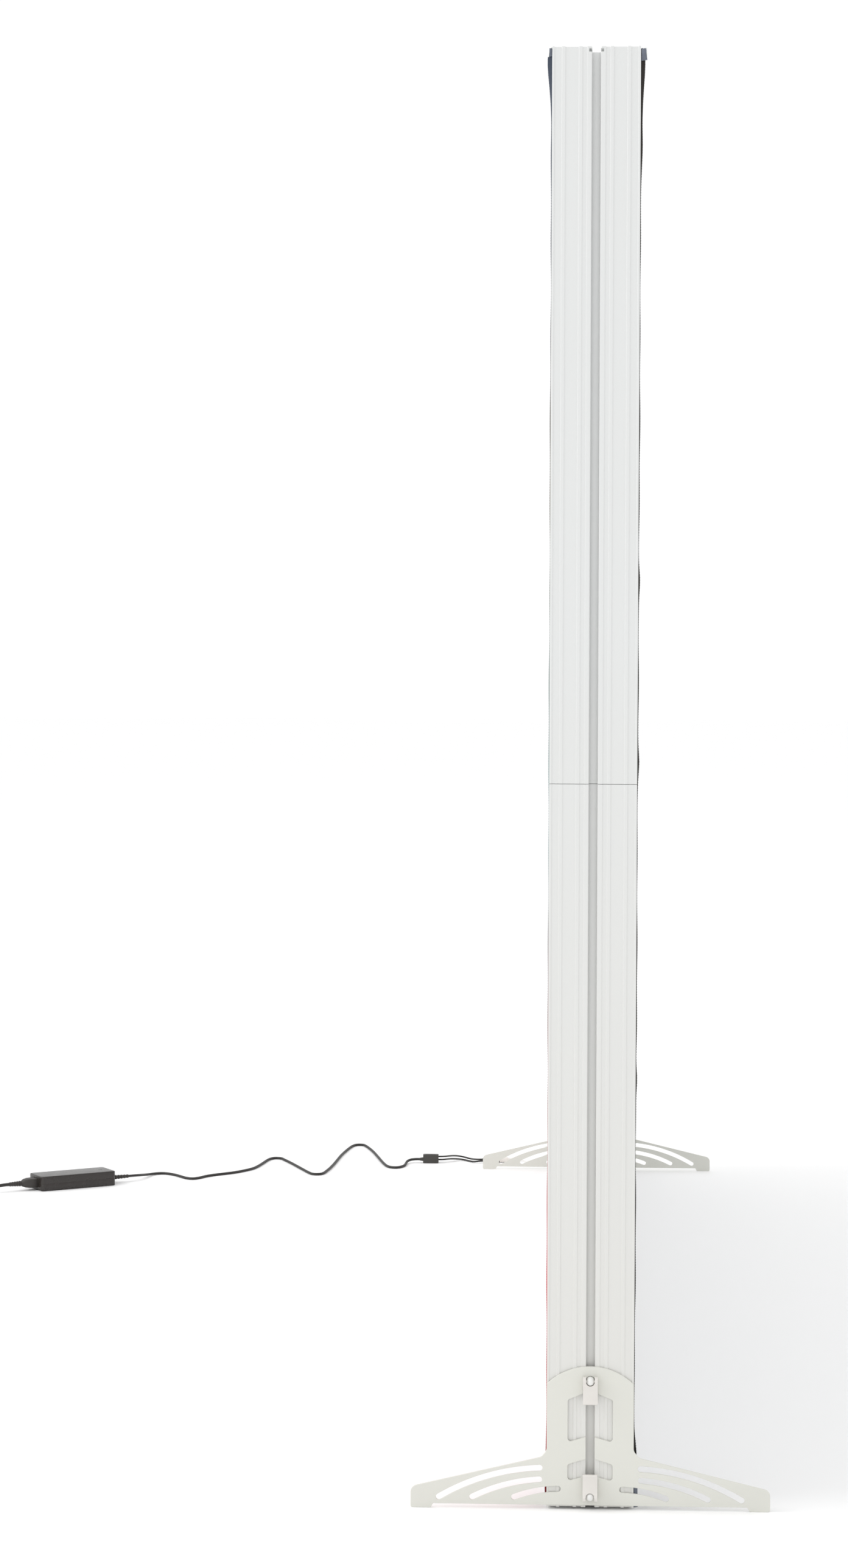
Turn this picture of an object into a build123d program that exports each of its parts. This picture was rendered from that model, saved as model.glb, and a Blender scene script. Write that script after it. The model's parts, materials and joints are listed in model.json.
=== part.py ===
from build123d import *

import math
import os

# Free-standing, double-sided, back-lit fabric display: a sectional slotted-profile frame, two sheet-steel
# feet held by cam clamps, two stretched fabric faces, edge lighting, and the supply with its cables.
#
# Millimetres, +Z up. The frame runs along X, its faces look along +Y and -Y, and the origin is on the floor
# at its centre.

# ---------------------------------------------------------------- overall sizes
FRAME_LENGTH = 3000.0  # along X, over the outer faces of the two posts
FRAME_HEIGHT = 2000.0  # along Z, over the outer faces of the two rails
FRAME_LIFT = 3.0  # floor to the underside of the bottom rail
RAIL_SEGMENTS = 3
JOINT_GAP = 0.4  # the fine line where two lengths of profile meet

# ---------------------------------------------------------------- frame profile
# depth is measured from the outer face
PROFILE_WIDTH = 120.0
PROFILE_DEPTH = 45.0
PROFILE_CORNER = 0.8
WALL = 2.0
RELIEF = 0.7  # how far the bands between the ribs are sunk
RELIEF_BEVEL = 0.7
BANDS = ((2.7, 13.4), (17.5, 36.5), (40.7, 47.7))  # sunk bands, measured from the edge of the outer face
SLOT_MOUTH = 12.0
SLOT_MOUTH_FLARE = 0.85
SLOT_LIP = 2.3
SLOT_CAVITY = 20.0
SLOT_CAVITY_DEPTH = 5.0
SLOT_WALL = 2.0
GROOVE_START = 2.7  # keder groove in each side wall
GROOVE_WIDTH = 3.2
GROOVE_DEPTH = 12.0
BOARD_RIB_PITCH = 28.0  # between the two small ribs that hold a light board
BOARD_RIB = 2.0
BOARD_RIB_HEIGHT = 3.0
MITRE_MARGIN = 4.0  # how much further than the profile's ribs a mitre cut reaches

# ---------------------------------------------------------------- joiners inside the frame
BRACKET_LEG = 150.0
BRACKET_PLATE = 6.0
JOINER_SPREAD = 88.0  # over the outsides of a pair of joining plates
JOINER_CLEARANCE = 0.3
SPLICE_LENGTH = 200.0
BRACE_OFFSET = FRAME_LENGTH / 6  # a brace stands this far each side of the middle
BRACE_SIZE = 30.0
BRACE_WALL = 1.5
SOCKET_WALL = 3.0
SOCKET_HEIGHT = 30.0
SOCKET_BASE = 4.0
SOCKET_CLEARANCE = 0.2

# ---------------------------------------------------------------- fabric
FABRIC_THICKNESS = 1.0
FABRIC_INSET = 3.0
KEDER_CLEARANCE = 0.1  # between a strip and each side of its groove
KEDER_SHORT = 1.0  # how far a strip stops short of the groove's end

# ---------------------------------------------------------------- lighting
BOARD_CLEARANCE = 1.0  # between a board and each of its ribs
BOARD_THICKNESS = 1.6
BOARD_MARGIN = 150.0  # clear profile at each end of a post
BOARD_LENS_PITCH = 96.0
LENS_RADIUS = 6.5
LENS_HEIGHT = 6.0
LENS_TOP_SHARE = 0.55  # radius at the top of a lens over its radius at the board
WIRE_DIAMETER = 2.8
WIRE_BEND = 8.0
WIRE_HOLE = 4.0
WIRE_STAND_OFF = 1.0  # straight wire between a board and the first bend
WIRE_GAP = 0.05  # between the long wire and the rail it lies on
EXIT_HEIGHTS = (132.0, 112.0)  # of the two leads that leave the right post
GROMMET_BORE = 7.0
GROMMET_FLANGE = 10.0
GROMMET_FLANGE_THICKNESS = 1.5
GROMMET_SNOUT_ROOT = 8.4
GROMMET_SNOUT = 5.0
GROMMET_REACH = 2.0  # how far the snout stands out of the post
GROMMET_STUB = 1.0  # how far the bush stands into the hollow
BOARD_WIRE_RISE = 6.0  # the wire leaves the board this far above its lower end

# ---------------------------------------------------------------- feet
FOOT_THICKNESS = 3.0
FOOT_HALF_WIDTH = 248.0
FOOT_HEIGHT = 199.5
TONGUE_SHOULDER = 175.0
FOOT_EDGE_LIFT = 6.0
PAD_INNER = 220.0
PAD_SLOPE = 3.0  # the pad's inner side leans this far
PAD_FILLETS = (2.0, 0.8, 3.0)  # where the slope meets the edge, and the pad's inner and outer corners
TIP_TOP = 29.5
TIP_CORNER = 10.0
WING_START = 7.7  # from the tongue to the inner end of the wing's upper edge
WING_TOP = 72.6
WING_RISE = 9.0  # the tongue's side starts this far above the wing's inner end
WING_FILLET = 10.0
FOOT_EDGE_BREAK = 0.4
FAN_SLOT_WIDTH = 8.4
FAN_SLOTS = (  # each from its inner end, over its crown, to its outer end
    ((69.7, 57.4), (141.0, 45.4), (208.7, 15.5)),
    ((70.2, 41.3), (118.0, 33.2), (162.4, 15.9)),
    ((44.5, 28.4), (75.5, 25.0), (104.6, 16.4)),
)
WINDOW_HALF_WIDTH = 31.0
WINDOW_CORNER = 4.0
UPPER_WINDOW = (94.0, 103.0, 153.0, 166.0)  # bottom corner, bottom middle, roof corner, roof peak
LOWER_WINDOW = (40.0, 48.0, 63.0, 72.5)
CLAMP_SLOT_MARGIN = 0.4  # the clamp slot is this much wider than the T-slot's mouth

# ---------------------------------------------------------------- cam clamps
CLAMP_HEIGHTS = {"top": 180.0, "bottom": 19.6}
PIN_OFFSET = 7.0  # pin centre above the foot plate
PIN_DIAMETER = 4.0
PIN_CLEARANCE = 0.05
LEVER_WIDTH = 20.4
LEVER_LENGTH = 38.0
LEVER_TIP_INNER = 5.0
LEVER_TIP_OUTER = 12.4
LEVER_WAIST = 9.8  # the outer side's nearest point to the foot plate, a good half of the way along
LEVER_WAIST_SHARE = 0.56
LEVER_PALM = ((0.3, 10.0), (1.6, 21.0))  # inner side: how far it draws back, and where along the handle
LEVER_TIP_ROUND = (1.2, 2.4, 1.5, 0.4, 1.6)  # small steps of the tip's two rounded corners
LEVER_CORNER = 2.5
CAM_RADIUS = 6.6
CAM_THROW = 0.2
FORK_CLEARANCE = 0.3  # between the fork's round-bottomed notch and the shank
SHANK_PLAY = 0.8  # the shank is this much thinner than the T-slot's mouth
BOLT_HEAD_PLAY = (0.75, 3.6, 1.6)  # under the cavity's depth, the cavity's width and the mouth's width
BOLT_HEAD_CORNER = 2.5
BOLT_HEAD_GAP = 0.15

# ---------------------------------------------------------------- leads, splitter and their routes
SUPPLY_POST = 1500.0  # X of the far post's outer face, from which all the places below are measured
LEAD_DIAMETER = 3.6
SOCKET_DIAMETER = 11.0
SOCKET_LENGTH = 24.0
PLUG_LENGTH = 24.0
RELIEF_LENGTH = 10.0
RELIEF_TIP = 5.0
SPLITTER_SIZE = (16.0, 34.0, 19.0)
SPLITTER_CENTRE = (1580.0, 366.0)
SPLITTER_CORNER = 4.0
SPLITTER_NOSE_Z = 8.0
SPLITTER_NOSE_WALLS = (1.6, 0.3)  # round the cord, at the block and at the nose's end
CONNECTOR_STEP = 1.0  # the plug's relief starts this much inside its body
DC_DIAMETER = 5.5
WHITE_LEAD_A = (
    (1502, 0, 132), (1514, 0, 132), (1524, 9, 125), (1526, 26, 108), (1524, 48, 88), (1521, 76, 66),
    (1521, 106, 48.5), (1538, 131, 36), (1562, 147, 26), (1585, 158, 16.5), (1601, 168.5, 9.5),
    (1607.2, 181.76, 5.5), (1603, 193, 5.5),
)  # fmt: skip
WHITE_LEAD_B = (
    (1502, 0, 112), (1514, 0, 112), (1523, 8, 105), (1524, 24, 91), (1520, 46, 74), (1517, 70, 54),
    (1516, 96, 36), (1522, 118, 24), (1545, 135, 14), (1572, 147, 6), (1598, 157, 2.6), (1614, 170, 3.6),
    (1619.88, 184.87, 5.5), (1617, 196, 5.5),
)  # fmt: skip
BLACK_LEAD_A = (
    (1582.7, 247.3, 5.5), (1579.02, 257.14, 5.5), (1582, 270, 2.8), (1597, 281, 2.2), (1610, 289, 2.2),
    (1617, 300, 3), (1613, 313, 4.4), (1602, 323, 6), (1590, 330, 7.2), (1582, 339, 7.2), (1582, 349, 7.2),
)  # fmt: skip
BLACK_LEAD_B = (
    (1602.5, 252.1, 5.5), (1599.87, 262.27, 5.5), (1604, 274, 5.5), (1614, 283, 5.5), (1621, 294, 7.5),
    (1616, 306, 10.5), (1603, 317, 13), (1590, 326, 14.2), (1581, 337, 14.2), (1581, 349, 14.2),
)  # fmt: skip
DC_CORD = (
    (1580, 391, 8), (1580, 407, 8), (1569, 418, 5.2), (1545, 420, 2.8), (1522, 421, 2.8), (1504, 426, 2.8),
    (1490, 435.5, 2.8), (1493, 451, 2.8), (1512, 460, 2.8), (1539, 467, 2.8), (1582, 476, 2.8),
    (1650, 489, 2.8), (1720, 503, 2.8), (1772, 516, 2.8), (1800, 524, 2.8), (1819, 531, 2.8),
    (1819, 548, 2.8), (1799, 555, 2.8), (1775, 559, 2.8), (1732, 564, 2.8), (1660, 571, 2.8),
    (1590, 574.5, 2.8), (1525, 578, 2.8), (1468, 582.5, 2.8), (1428, 587.5, 2.8), (1402, 590.5, 2.8),
    (1387, 598, 2.8), (1388, 614, 2.8), (1407, 623, 2.8), (1438, 635, 2.8), (1495, 656, 2.8),
    (1550, 677, 2.8), (1588, 693, 2.8), (1607, 700, 2.8), (1610, 718, 2.8), (1592, 727, 2.8),
    (1560, 732, 2.8), (1505, 739, 2.8), (1456, 749, 2.8), (1425, 767, 2.8), (1397, 786, 2.8),
    (1369, 820, 2.8), (1345, 842, 2.8), (1322, 852, 2.8), (1308, 865, 2.8), (1316, 881, 2.8),
    (1337, 894, 2.8), (1366, 915, 2.8), (1381, 936, 2.8), (1373, 955, 3), (1350, 966, 4.5),
    (1325, 973, 7.5), (1301, 979, 10.5), (1287.03, 987.15, 12), (1278.37, 1000.62, 12),
)  # fmt: skip

# ---------------------------------------------------------------- supply adapter
# in its own frame, +X towards the DC end
ADAPTER_SIZE = (172.0, 66.0, 31.0)
ADAPTER_CENTRE = (1207.5, 1110.8)
ADAPTER_TURN = -57.25
ADAPTER_WALL = 2.2
ADAPTER_SPLIT = 15.5
ADAPTER_CORNER = 7.0
ADAPTER_EDGE = 2.0
ADAPTER_BOARD = (134.0, 56.0, 1.6)
ADAPTER_BOARD_SHIFT = 8.0  # off the case's middle, away from the inlet
ADAPTER_BOARD_Z = 6.0
BOARD_BLOCKS = (  # transformer and heat sink: low corner and high corner across, then height
    ((-10.0, -16.0), (24.0, 16.0), 19.0),
    ((-22.0, -25.0), (66.0, -23.0), 17.0),
)
BOARD_CANS = (((-38.0, 10.0), 9.0, 18.0), ((48.0, -12.0), 6.0, 16.0), ((48.0, 8.0), 6.0, 16.0))
DC_EXIT_Z = 12.0
DC_RELIEF = (45.0, 10.0, 7.5)  # length, diameter at the case, diameter at its tip
DC_RELIEF_NECK = 8.0
INLET_SIZE = (20.0, 30.0, 23.0)
INLET_CAVITY = (14.0, 24.6, 16.6)
INLET_Z = 15.5
NOSE_PLAY = (0.5, 0.6, 0.6)  # the plug's nose is this much smaller than the inlet's cavity
INLET_PLUG_SIZE = (32.0, 27.0, 20.0)
PLUG_CORNER = 3.0
INLET_RELIEF = (29.0, 12.0, 8.5)
MAINS_DIAMETER = 7.0
MAINS_CORD = (
    (1127.98, 1234.43, 15.5), (1117.7, 1250.42, 15.5), (1107, 1268, 11), (1099, 1286, 6), (1092, 1305, 3.6),
    (1087, 1325, 3.6),
)  # fmt: skip
COIL_CENTRE = (1039.0, 1337.0)
COIL_MEAN_RADIUS = 38.5
COIL_TURNS_WIDE = 3
COIL_TURNS_HIGH = 2
COIL_SLACK = 0.2
PLUG_CORD = ((1046, 1382, 10.6), (1030, 1384, 11), (1013, 1387, 12), (997, 1389, 12))
MAINS_PLUG_SIZE = (36.0, 28.0, 26.0)
MAINS_PLUG_RELIEF = (24.0, 12.0, 8.5)
BLADE = (17.5, 1.5, 6.3)
BLADE_PITCH = 12.7
BLADE_RAISE = 4.0
EARTH_PIN = (20.5, 4.8)
EARTH_DROP = 6.0

# ---------------------------------------------------------------- derived places
LEFT, RIGHT = -FRAME_LENGTH / 2, FRAME_LENGTH / 2
SUPPLY_SHIFT = RIGHT - SUPPLY_POST
FRAME_BOTTOM, FRAME_TOP = FRAME_LIFT, FRAME_LIFT + FRAME_HEIGHT
FRAME_MIDDLE = (FRAME_BOTTOM + FRAME_TOP) / 2
HALF_WIDTH = PROFILE_WIDTH / 2
SLOT_FLOOR = SLOT_LIP + SLOT_CAVITY_DEPTH
SLOT_INNER = SLOT_FLOOR + SLOT_WALL
GROOVE_END = GROOVE_START + GROOVE_WIDTH
MITRE_REACH = PROFILE_DEPTH + BOARD_RIB_HEIGHT + MITRE_MARGIN
KEDER_DEPTH = GROOVE_DEPTH - KEDER_SHORT
BOARD_WIDTH = BOARD_RIB_PITCH - BOARD_RIB - 2 * BOARD_CLEARANCE
CLAMP_SLOT = SLOT_MOUTH + CLAMP_SLOT_MARGIN
BOLT_SHANK = SLOT_MOUTH - SHANK_PLAY
FORK_SLOT = BOLT_SHANK + 2 * FORK_CLEARANCE
HEAD_THICKNESS = SLOT_CAVITY_DEPTH - BOLT_HEAD_GAP - BOLT_HEAD_PLAY[0]
HEAD_ACROSS = SLOT_CAVITY - BOLT_HEAD_PLAY[1]
HEAD_ALONG = SLOT_MOUTH - BOLT_HEAD_PLAY[2]
NOSE_SIZE = tuple(hole - play for hole, play in zip(INLET_CAVITY, NOSE_PLAY))
ENDS = {"left": (LEFT, 1), "right": (RIGHT, -1)}  # place of the outer face, and the way into the frame


def write(name, solids):
    """Writes one node from a shape or a list of separate solids."""
    shape = Compound(list(solids)) if isinstance(solids, (list, tuple)) else solids
    export_step(shape, f"parts/{name}.step")


def lay(name, solids):
    """Writes one node of the supply, which keeps its place from the far post however long the frame is."""
    solids = solids if isinstance(solids, (list, tuple)) else [solids]
    write(name, [Pos(SUPPLY_SHIFT, 0, 0) * solid for solid in solids] if SUPPLY_SHIFT else list(solids))


def box(low, high):
    """A box from its low corner to its high corner."""
    size = [b - a for a, b in zip(low, high)]
    return Pos(*low) * Box(*size, align=(Align.MIN, Align.MIN, Align.MIN))


def rod(start, end, radius, end_radius=None):
    """A round bar, or a taper when a second radius is given."""
    start, end = Vector(start), Vector(end)
    plane = Plane(origin=start, z_dir=end - start)
    length = (end - start).length
    align = (Align.CENTER, Align.CENTER, Align.MIN)
    if end_radius is None:
        return plane * Cylinder(radius, length, align=align)
    return plane * Cone(radius, end_radius, length, align=align)


# ================================================================ frame profile


def t_slot_section():
    """The T-slot as a void: local X is depth from the outer face, local Y is across."""
    mouth, cavity, flare = SLOT_MOUTH / 2, SLOT_CAVITY / 2, SLOT_MOUTH_FLARE
    half = [(0, mouth + flare), (flare, mouth), (SLOT_LIP, mouth), (SLOT_LIP, cavity), (SLOT_FLOOR, cavity)]
    return Polygon(*half, *[(x, -y) for x, y in reversed(half)], align=None)


def profile_section():
    """The extruded section of posts and rails."""
    section = Pos(PROFILE_DEPTH / 2, 0) * Rectangle(PROFILE_DEPTH, PROFILE_WIDTH)
    section = fillet(section.vertices().group_by(Axis.X)[0], PROFILE_CORNER)
    edge = HALF_WIDTH
    hollow = [
        (SLOT_INNER, SLOT_CAVITY / 2 + WALL), (RELIEF + WALL, SLOT_CAVITY / 2 + WALL),
        (RELIEF + WALL, edge - GROOVE_DEPTH - WALL), (GROOVE_END + WALL, edge - GROOVE_DEPTH - WALL),
        (GROOVE_END + WALL, edge - WALL), (PROFILE_DEPTH - WALL, edge - WALL),
    ]  # fmt: skip
    section -= Polygon(*hollow, *[(x, -y) for x, y in reversed(hollow)], align=None)
    section -= t_slot_section()
    for side in (1, -1):
        for outer, inner in BANDS:
            far, near = edge - outer, edge - inner
            band = [(0, far), (0, near), (RELIEF, near + RELIEF_BEVEL), (RELIEF, far - RELIEF_BEVEL)]
            section -= Polygon(*[(x, side * y) for x, y in band], align=None)
        groove = Rectangle(GROOVE_WIDTH, GROOVE_DEPTH)
        section -= Pos(GROOVE_START + GROOVE_WIDTH / 2, side * (edge - GROOVE_DEPTH / 2)) * groove
        rib = Rectangle(BOARD_RIB_HEIGHT, BOARD_RIB)
        section += Pos(PROFILE_DEPTH + BOARD_RIB_HEIGHT / 2, side * BOARD_RIB_PITCH / 2) * rib
    return section


def swept_section(section, origin, inwards, along, length):
    """A section set on a plane, depth pointing inwards, and extruded."""
    return extrude(Plane(origin=origin, x_dir=inwards, z_dir=along) * section, length, dir=along)


UPRIGHT_PLANE = Plane(origin=(0, 0, 0), x_dir=(1, 0, 0), z_dir=(0, -1, 0))


def corner_wedge(x, inwards, z, upwards, keep_post):
    """The half of a corner square that lies on the other member's side of the mitre."""
    reach = MITRE_REACH
    across = (x + inwards * reach, z)
    along = (x, z + upwards * reach)
    opposite = (x + inwards * reach, z + upwards * reach)
    half_square = Polygon((x, z), across if keep_post else along, opposite, align=None)
    return extrude(UPRIGHT_PLANE * half_square, HALF_WIDTH + 1, both=True)


def corner_cuts(keep_post, side, level):
    """The mitre, and the crossing member's T-slot run on through this member's end."""
    x, inwards = ENDS[side]
    z, upwards = (FRAME_TOP, -1) if level == "top" else (FRAME_BOTTOM, 1)
    wedge = corner_wedge(x, inwards, z, upwards, keep_post)
    across, along = (inwards, 0, 0), (0, 0, upwards)
    if keep_post:
        slot = swept_section(t_slot_section(), (x - inwards, 0, z), along, across, MITRE_REACH)
    else:
        slot = swept_section(t_slot_section(), (x, 0, z - upwards), across, along, MITRE_REACH)
    return [wedge, slot]


def post(side, level):
    """One half-height length of post."""
    x, inwards = ENDS[side]
    low = FRAME_BOTTOM if level == "bottom" else FRAME_MIDDLE + JOINT_GAP / 2
    length = FRAME_HEIGHT / 2 - JOINT_GAP / 2
    body = swept_section(profile_section(), (x, 0, low), (inwards, 0, 0), (0, 0, 1), length)
    for cut in corner_cuts(True, side, level):
        body -= cut
    if side == "right" and level == "bottom":
        for height in EXIT_HEIGHTS:
            inner = x + inwards * (PROFILE_DEPTH + 1)
            body -= rod((inner, 0, height), (x + inwards * SLOT_INNER, 0, height), WIRE_HOLE / 2)
            body -= rod((x + inwards * (SLOT_INNER + 1), 0, height), (x, 0, height), GROMMET_BORE / 2)
    return body


def rail(level, index):
    """One length of the top or bottom rail, counted from the left."""
    z, upwards = (FRAME_TOP, -1) if level == "top" else (FRAME_BOTTOM, 1)
    pitch = FRAME_LENGTH / RAIL_SEGMENTS
    first, last = index == 0, index == RAIL_SEGMENTS - 1
    start = LEFT + index * pitch + (0 if first else JOINT_GAP / 2)
    end = LEFT + (index + 1) * pitch - (0 if last else JOINT_GAP / 2)
    body = swept_section(profile_section(), (start, 0, z), (0, 0, upwards), (1, 0, 0), end - start)
    for side, wanted in (("left", first), ("right", last)):
        if wanted:
            for cut in corner_cuts(False, side, level):
                body -= cut
    return body


# ================================================================ joiners


def joiner_span():
    """How deep a joining plate may be inside the hollow: from and to, measured from the outer face."""
    return SLOT_INNER + JOINER_CLEARANCE, PROFILE_DEPTH - WALL - JOINER_CLEARANCE


def corner_bracket(side, level):
    """Two L-shaped plates that lie in the hollow of a post and a rail."""
    x, inwards = ENDS[side]
    z, upwards = (FRAME_TOP, -1) if level == "top" else (FRAME_BOTTOM, 1)
    near, far = joiner_span()
    leg = BRACKET_LEG
    outline = [(near, near), (leg, near), (leg, far), (far, far), (far, leg), (near, leg)]
    plates = []
    for way in (-1, 1):
        points = [(x + inwards * a, z + upwards * b) for a, b in outline]
        middle = way * (JOINER_SPREAD - BRACKET_PLATE) / 2
        plate = extrude(UPRIGHT_PLANE * Polygon(*points, align=None), BRACKET_PLATE / 2, both=True)
        plates.append(Pos(0, middle, 0) * plate)
    return plates


def splice(centre, along_x, outer, inwards):
    """Two flat bars across a joint between lengths of profile."""
    near, far = joiner_span()
    bars = []
    for y in (-JOINER_SPREAD / 2, JOINER_SPREAD / 2 - BRACKET_PLATE):
        ends = sorted((outer + inwards * near, outer + inwards * far))
        run = (centre - SPLICE_LENGTH / 2, centre + SPLICE_LENGTH / 2)
        (x0, x1), (z0, z1) = (run, ends) if along_x else (ends, run)
        bars.append(box((x0, y, z0), (x1, y + BRACKET_PLATE, z1)))
    return bars


def brace_ends():
    """Heights of the lower and upper ends of a brace, and of the socket bases they stand on."""
    seat = PROFILE_DEPTH + BOARD_RIB_HEIGHT
    return FRAME_BOTTOM + seat + SOCKET_BASE, FRAME_TOP - seat - SOCKET_BASE


def brace(x):
    """An upright square tube between the rails."""
    low, high = brace_ends()
    half, inner = BRACE_SIZE / 2, BRACE_SIZE / 2 - BRACE_WALL
    return box((x - half, -half, low), (x + half, half, high)) - box(
        (x - inner, -inner, low - 1), (x + inner, inner, high + 1)
    )


def brace_socket(x, level):
    """A cup that sits on the rail's ribs and holds one end of a brace."""
    low, high = brace_ends()
    end, out = (low, -1) if level == "bottom" else (high, 1)
    hole = BRACE_SIZE / 2 + SOCKET_CLEARANCE
    half = hole + SOCKET_WALL
    z = sorted((end + out * SOCKET_BASE, end - out * SOCKET_HEIGHT))
    cut = sorted((end, end - out * (SOCKET_HEIGHT + 1)))
    cup = box((x - half, -half, z[0]), (x + half, half, z[1]))
    return cup - box((x - hole, -hole, cut[0]), (x + hole, hole, cut[1]))


# ================================================================ fabric


def fabric(face):
    """The flat fabric skin on one face; face is 1 for the back and -1 for the front."""
    y = sorted((face * HALF_WIDTH, face * (HALF_WIDTH + FABRIC_THICKNESS)))
    inset = FABRIC_INSET
    return box((LEFT + inset, y[0], FRAME_BOTTOM + inset), (RIGHT - inset, y[1], FRAME_TOP - inset))


def keder(face):
    """The four strips that are sewn to a skin's edges and press into the grooves."""
    near, far = GROOVE_START + KEDER_CLEARANCE, GROOVE_END - KEDER_CLEARANCE
    y = sorted((face * (HALF_WIDTH - KEDER_DEPTH), face * HALF_WIDTH))
    strips = []
    for z, upwards in ((FRAME_BOTTOM, 1), (FRAME_TOP, -1)):
        level = sorted((z + upwards * near, z + upwards * far))
        strips.append(box((LEFT + near, y[0], level[0]), (RIGHT - near, y[1], level[1])))
    for x, inwards in ENDS.values():
        place = sorted((x + inwards * near, x + inwards * far))
        strips.append(box((place[0], y[0], FRAME_BOTTOM + far), (place[1], y[1], FRAME_TOP - far)))
    return strips


# ================================================================ lighting


def light_board(side):
    """The two light boards of one post, each half the height."""
    x, inwards = ENDS[side]
    face = x + inwards * PROFILE_DEPTH
    ends = sorted((face, face + inwards * BOARD_THICKNESS))
    lower = (FRAME_BOTTOM + BOARD_MARGIN, FRAME_MIDDLE - JOINT_GAP)
    upper = (FRAME_MIDDLE + JOINT_GAP, FRAME_TOP - BOARD_MARGIN)
    half = BOARD_WIDTH / 2
    return [box((ends[0], -half, low), (ends[1], half, high)) for low, high in (lower, upper)]


def lenses(side):
    """The domed lenses of one post's boards."""
    x, inwards = ENDS[side]
    face = x + inwards * (PROFILE_DEPTH + BOARD_THICKNESS)
    usable = FRAME_HEIGHT / 2 - BOARD_MARGIN
    count = int((usable - BOARD_LENS_PITCH / 2) // BOARD_LENS_PITCH) + 1
    found = []
    for way in (-1, 1):
        for i in range(count):
            z = FRAME_MIDDLE + way * BOARD_LENS_PITCH * (i + 0.5)
            top = (face + inwards * LENS_HEIGHT, 0, z)
            found.append(rod((face, 0, z), top, LENS_RADIUS, LENS_RADIUS * LENS_TOP_SHARE))
    return found


def bent_wire(points, diameter, bend):
    """A tube along straight runs with equal tangent arcs."""
    path = FilletPolyline(*points, radius=bend)
    section = Plane(origin=path @ 0, z_dir=path % 0) * Circle(diameter / 2)
    return sweep(section, path=path)


def inner_wiring():
    """The long wire along the bottom rail, and the short one from the right board, up to the grommets."""
    board = PROFILE_DEPTH + BOARD_THICKNESS
    stand_off = board + WIRE_BEND + WIRE_STAND_OFF
    left, right = LEFT + stand_off, RIGHT - stand_off
    floor = FRAME_BOTTOM + PROFILE_DEPTH + WIRE_DIAMETER / 2 + WIRE_GAP
    top = FRAME_BOTTOM + BOARD_MARGIN + BOARD_WIRE_RISE
    bush = RIGHT - SLOT_INNER - GROMMET_STUB
    upper, lower = EXIT_HEIGHTS
    long_wire = [
        (LEFT + board, 0, top), (left, 0, top), (left, 0, floor),
        (right, 0, floor), (right, 0, lower), (bush, 0, lower),
    ]  # fmt: skip
    short_wire = [(RIGHT - board, 0, top), (right, 0, top), (right, 0, upper), (bush, 0, upper)]
    return [bent_wire(long_wire, WIRE_DIAMETER, WIRE_BEND), bent_wire(short_wire, WIRE_DIAMETER, WIRE_BEND)]


def grommet(height):
    """A bush that fills a hole in the slot's floor, with a tapered snout round the lead."""
    inside, floor = RIGHT - SLOT_INNER - GROMMET_STUB, RIGHT - SLOT_FLOOR
    flange = floor + GROMMET_FLANGE_THICKNESS
    bush = rod((inside, 0, height), (floor, 0, height), GROMMET_BORE / 2)
    bush += rod((floor, 0, height), (flange, 0, height), GROMMET_FLANGE / 2)
    tip = (RIGHT + GROMMET_REACH, 0, height)
    return bush + rod((flange, 0, height), tip, GROMMET_SNOUT_ROOT / 2, GROMMET_SNOUT / 2)


# ================================================================ feet


def window(levels):
    """A window with a roof-shaped top and a matching notched bottom."""
    corner, middle, eaves, peak = levels
    half = WINDOW_HALF_WIDTH
    points = [(-half, corner), (0, middle), (half, corner), (half, eaves), (0, peak), (-half, eaves)]
    radii = 2 * [WINDOW_CORNER, WINDOW_CORNER * 2, WINDOW_CORNER]
    return make_face(FilletPolyline(*points, radius=radii, close=True))


def foot_outline():
    """The foot plate seen from its end: a tongue up the post, two wings and two pads."""
    shoulder, tip = HALF_WIDTH, FOOT_HALF_WIDTH
    slope, inner, outer = PAD_FILLETS
    half = [
        ((PAD_INNER - PAD_SLOPE, FOOT_EDGE_LIFT), slope), ((PAD_INNER, 0), inner), ((tip, 0), outer),
        ((tip, TIP_TOP), TIP_CORNER), ((shoulder + WING_START, WING_TOP), WING_FILLET),
        ((shoulder, WING_TOP + WING_RISE), WING_FILLET), ((shoulder, TONGUE_SHOULDER), 0),
    ]  # fmt: skip
    points = [p for p, _ in half] + [(-x, y) for (x, y), _ in reversed(half)]
    radii = [r for _, r in half] + [r for _, r in reversed(half)]
    outline = make_face(FilletPolyline(*points, radius=radii, close=True))
    arch = ThreePointArc((-shoulder, TONGUE_SHOULDER), (0, FOOT_HEIGHT), (shoulder, TONGUE_SHOULDER))
    return outline + make_face(arch + Line((-shoulder, TONGUE_SHOULDER), (shoulder, TONGUE_SHOULDER)))


def foot_sketch():
    """The foot plate's outline with its windows, clamp slot and fan of slots."""
    plate = foot_outline()
    low, high = CLAMP_HEIGHTS["bottom"], CLAMP_HEIGHTS["top"]
    plate -= Pos(0, (low + high) / 2) * Rotation(0, 0, 90) * SlotCenterToCenter(high - low, CLAMP_SLOT)
    for levels in (UPPER_WINDOW, LOWER_WINDOW):
        plate -= window(levels)
    for side in (1, -1):
        for points in FAN_SLOTS:
            start, crown, end = [(side * y, z) for y, z in points]
            plate -= SlotArc(ThreePointArc(start, crown, end), FAN_SLOT_WIDTH)
    return plate


def foot_plate(side):
    """One foot, standing against a post's outer face."""
    x, inwards = ENDS[side]
    plane = Plane(origin=(x, 0, 0), x_dir=(0, -inwards, 0), z_dir=(-inwards, 0, 0))
    plate = extrude(plane * foot_sketch(), FOOT_THICKNESS, dir=(-inwards, 0, 0))
    outer_face = plate.faces().sort_by(Axis.X)[0 if inwards > 0 else -1]
    return chamfer(outer_face.edges(), FOOT_EDGE_BREAK)


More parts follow.
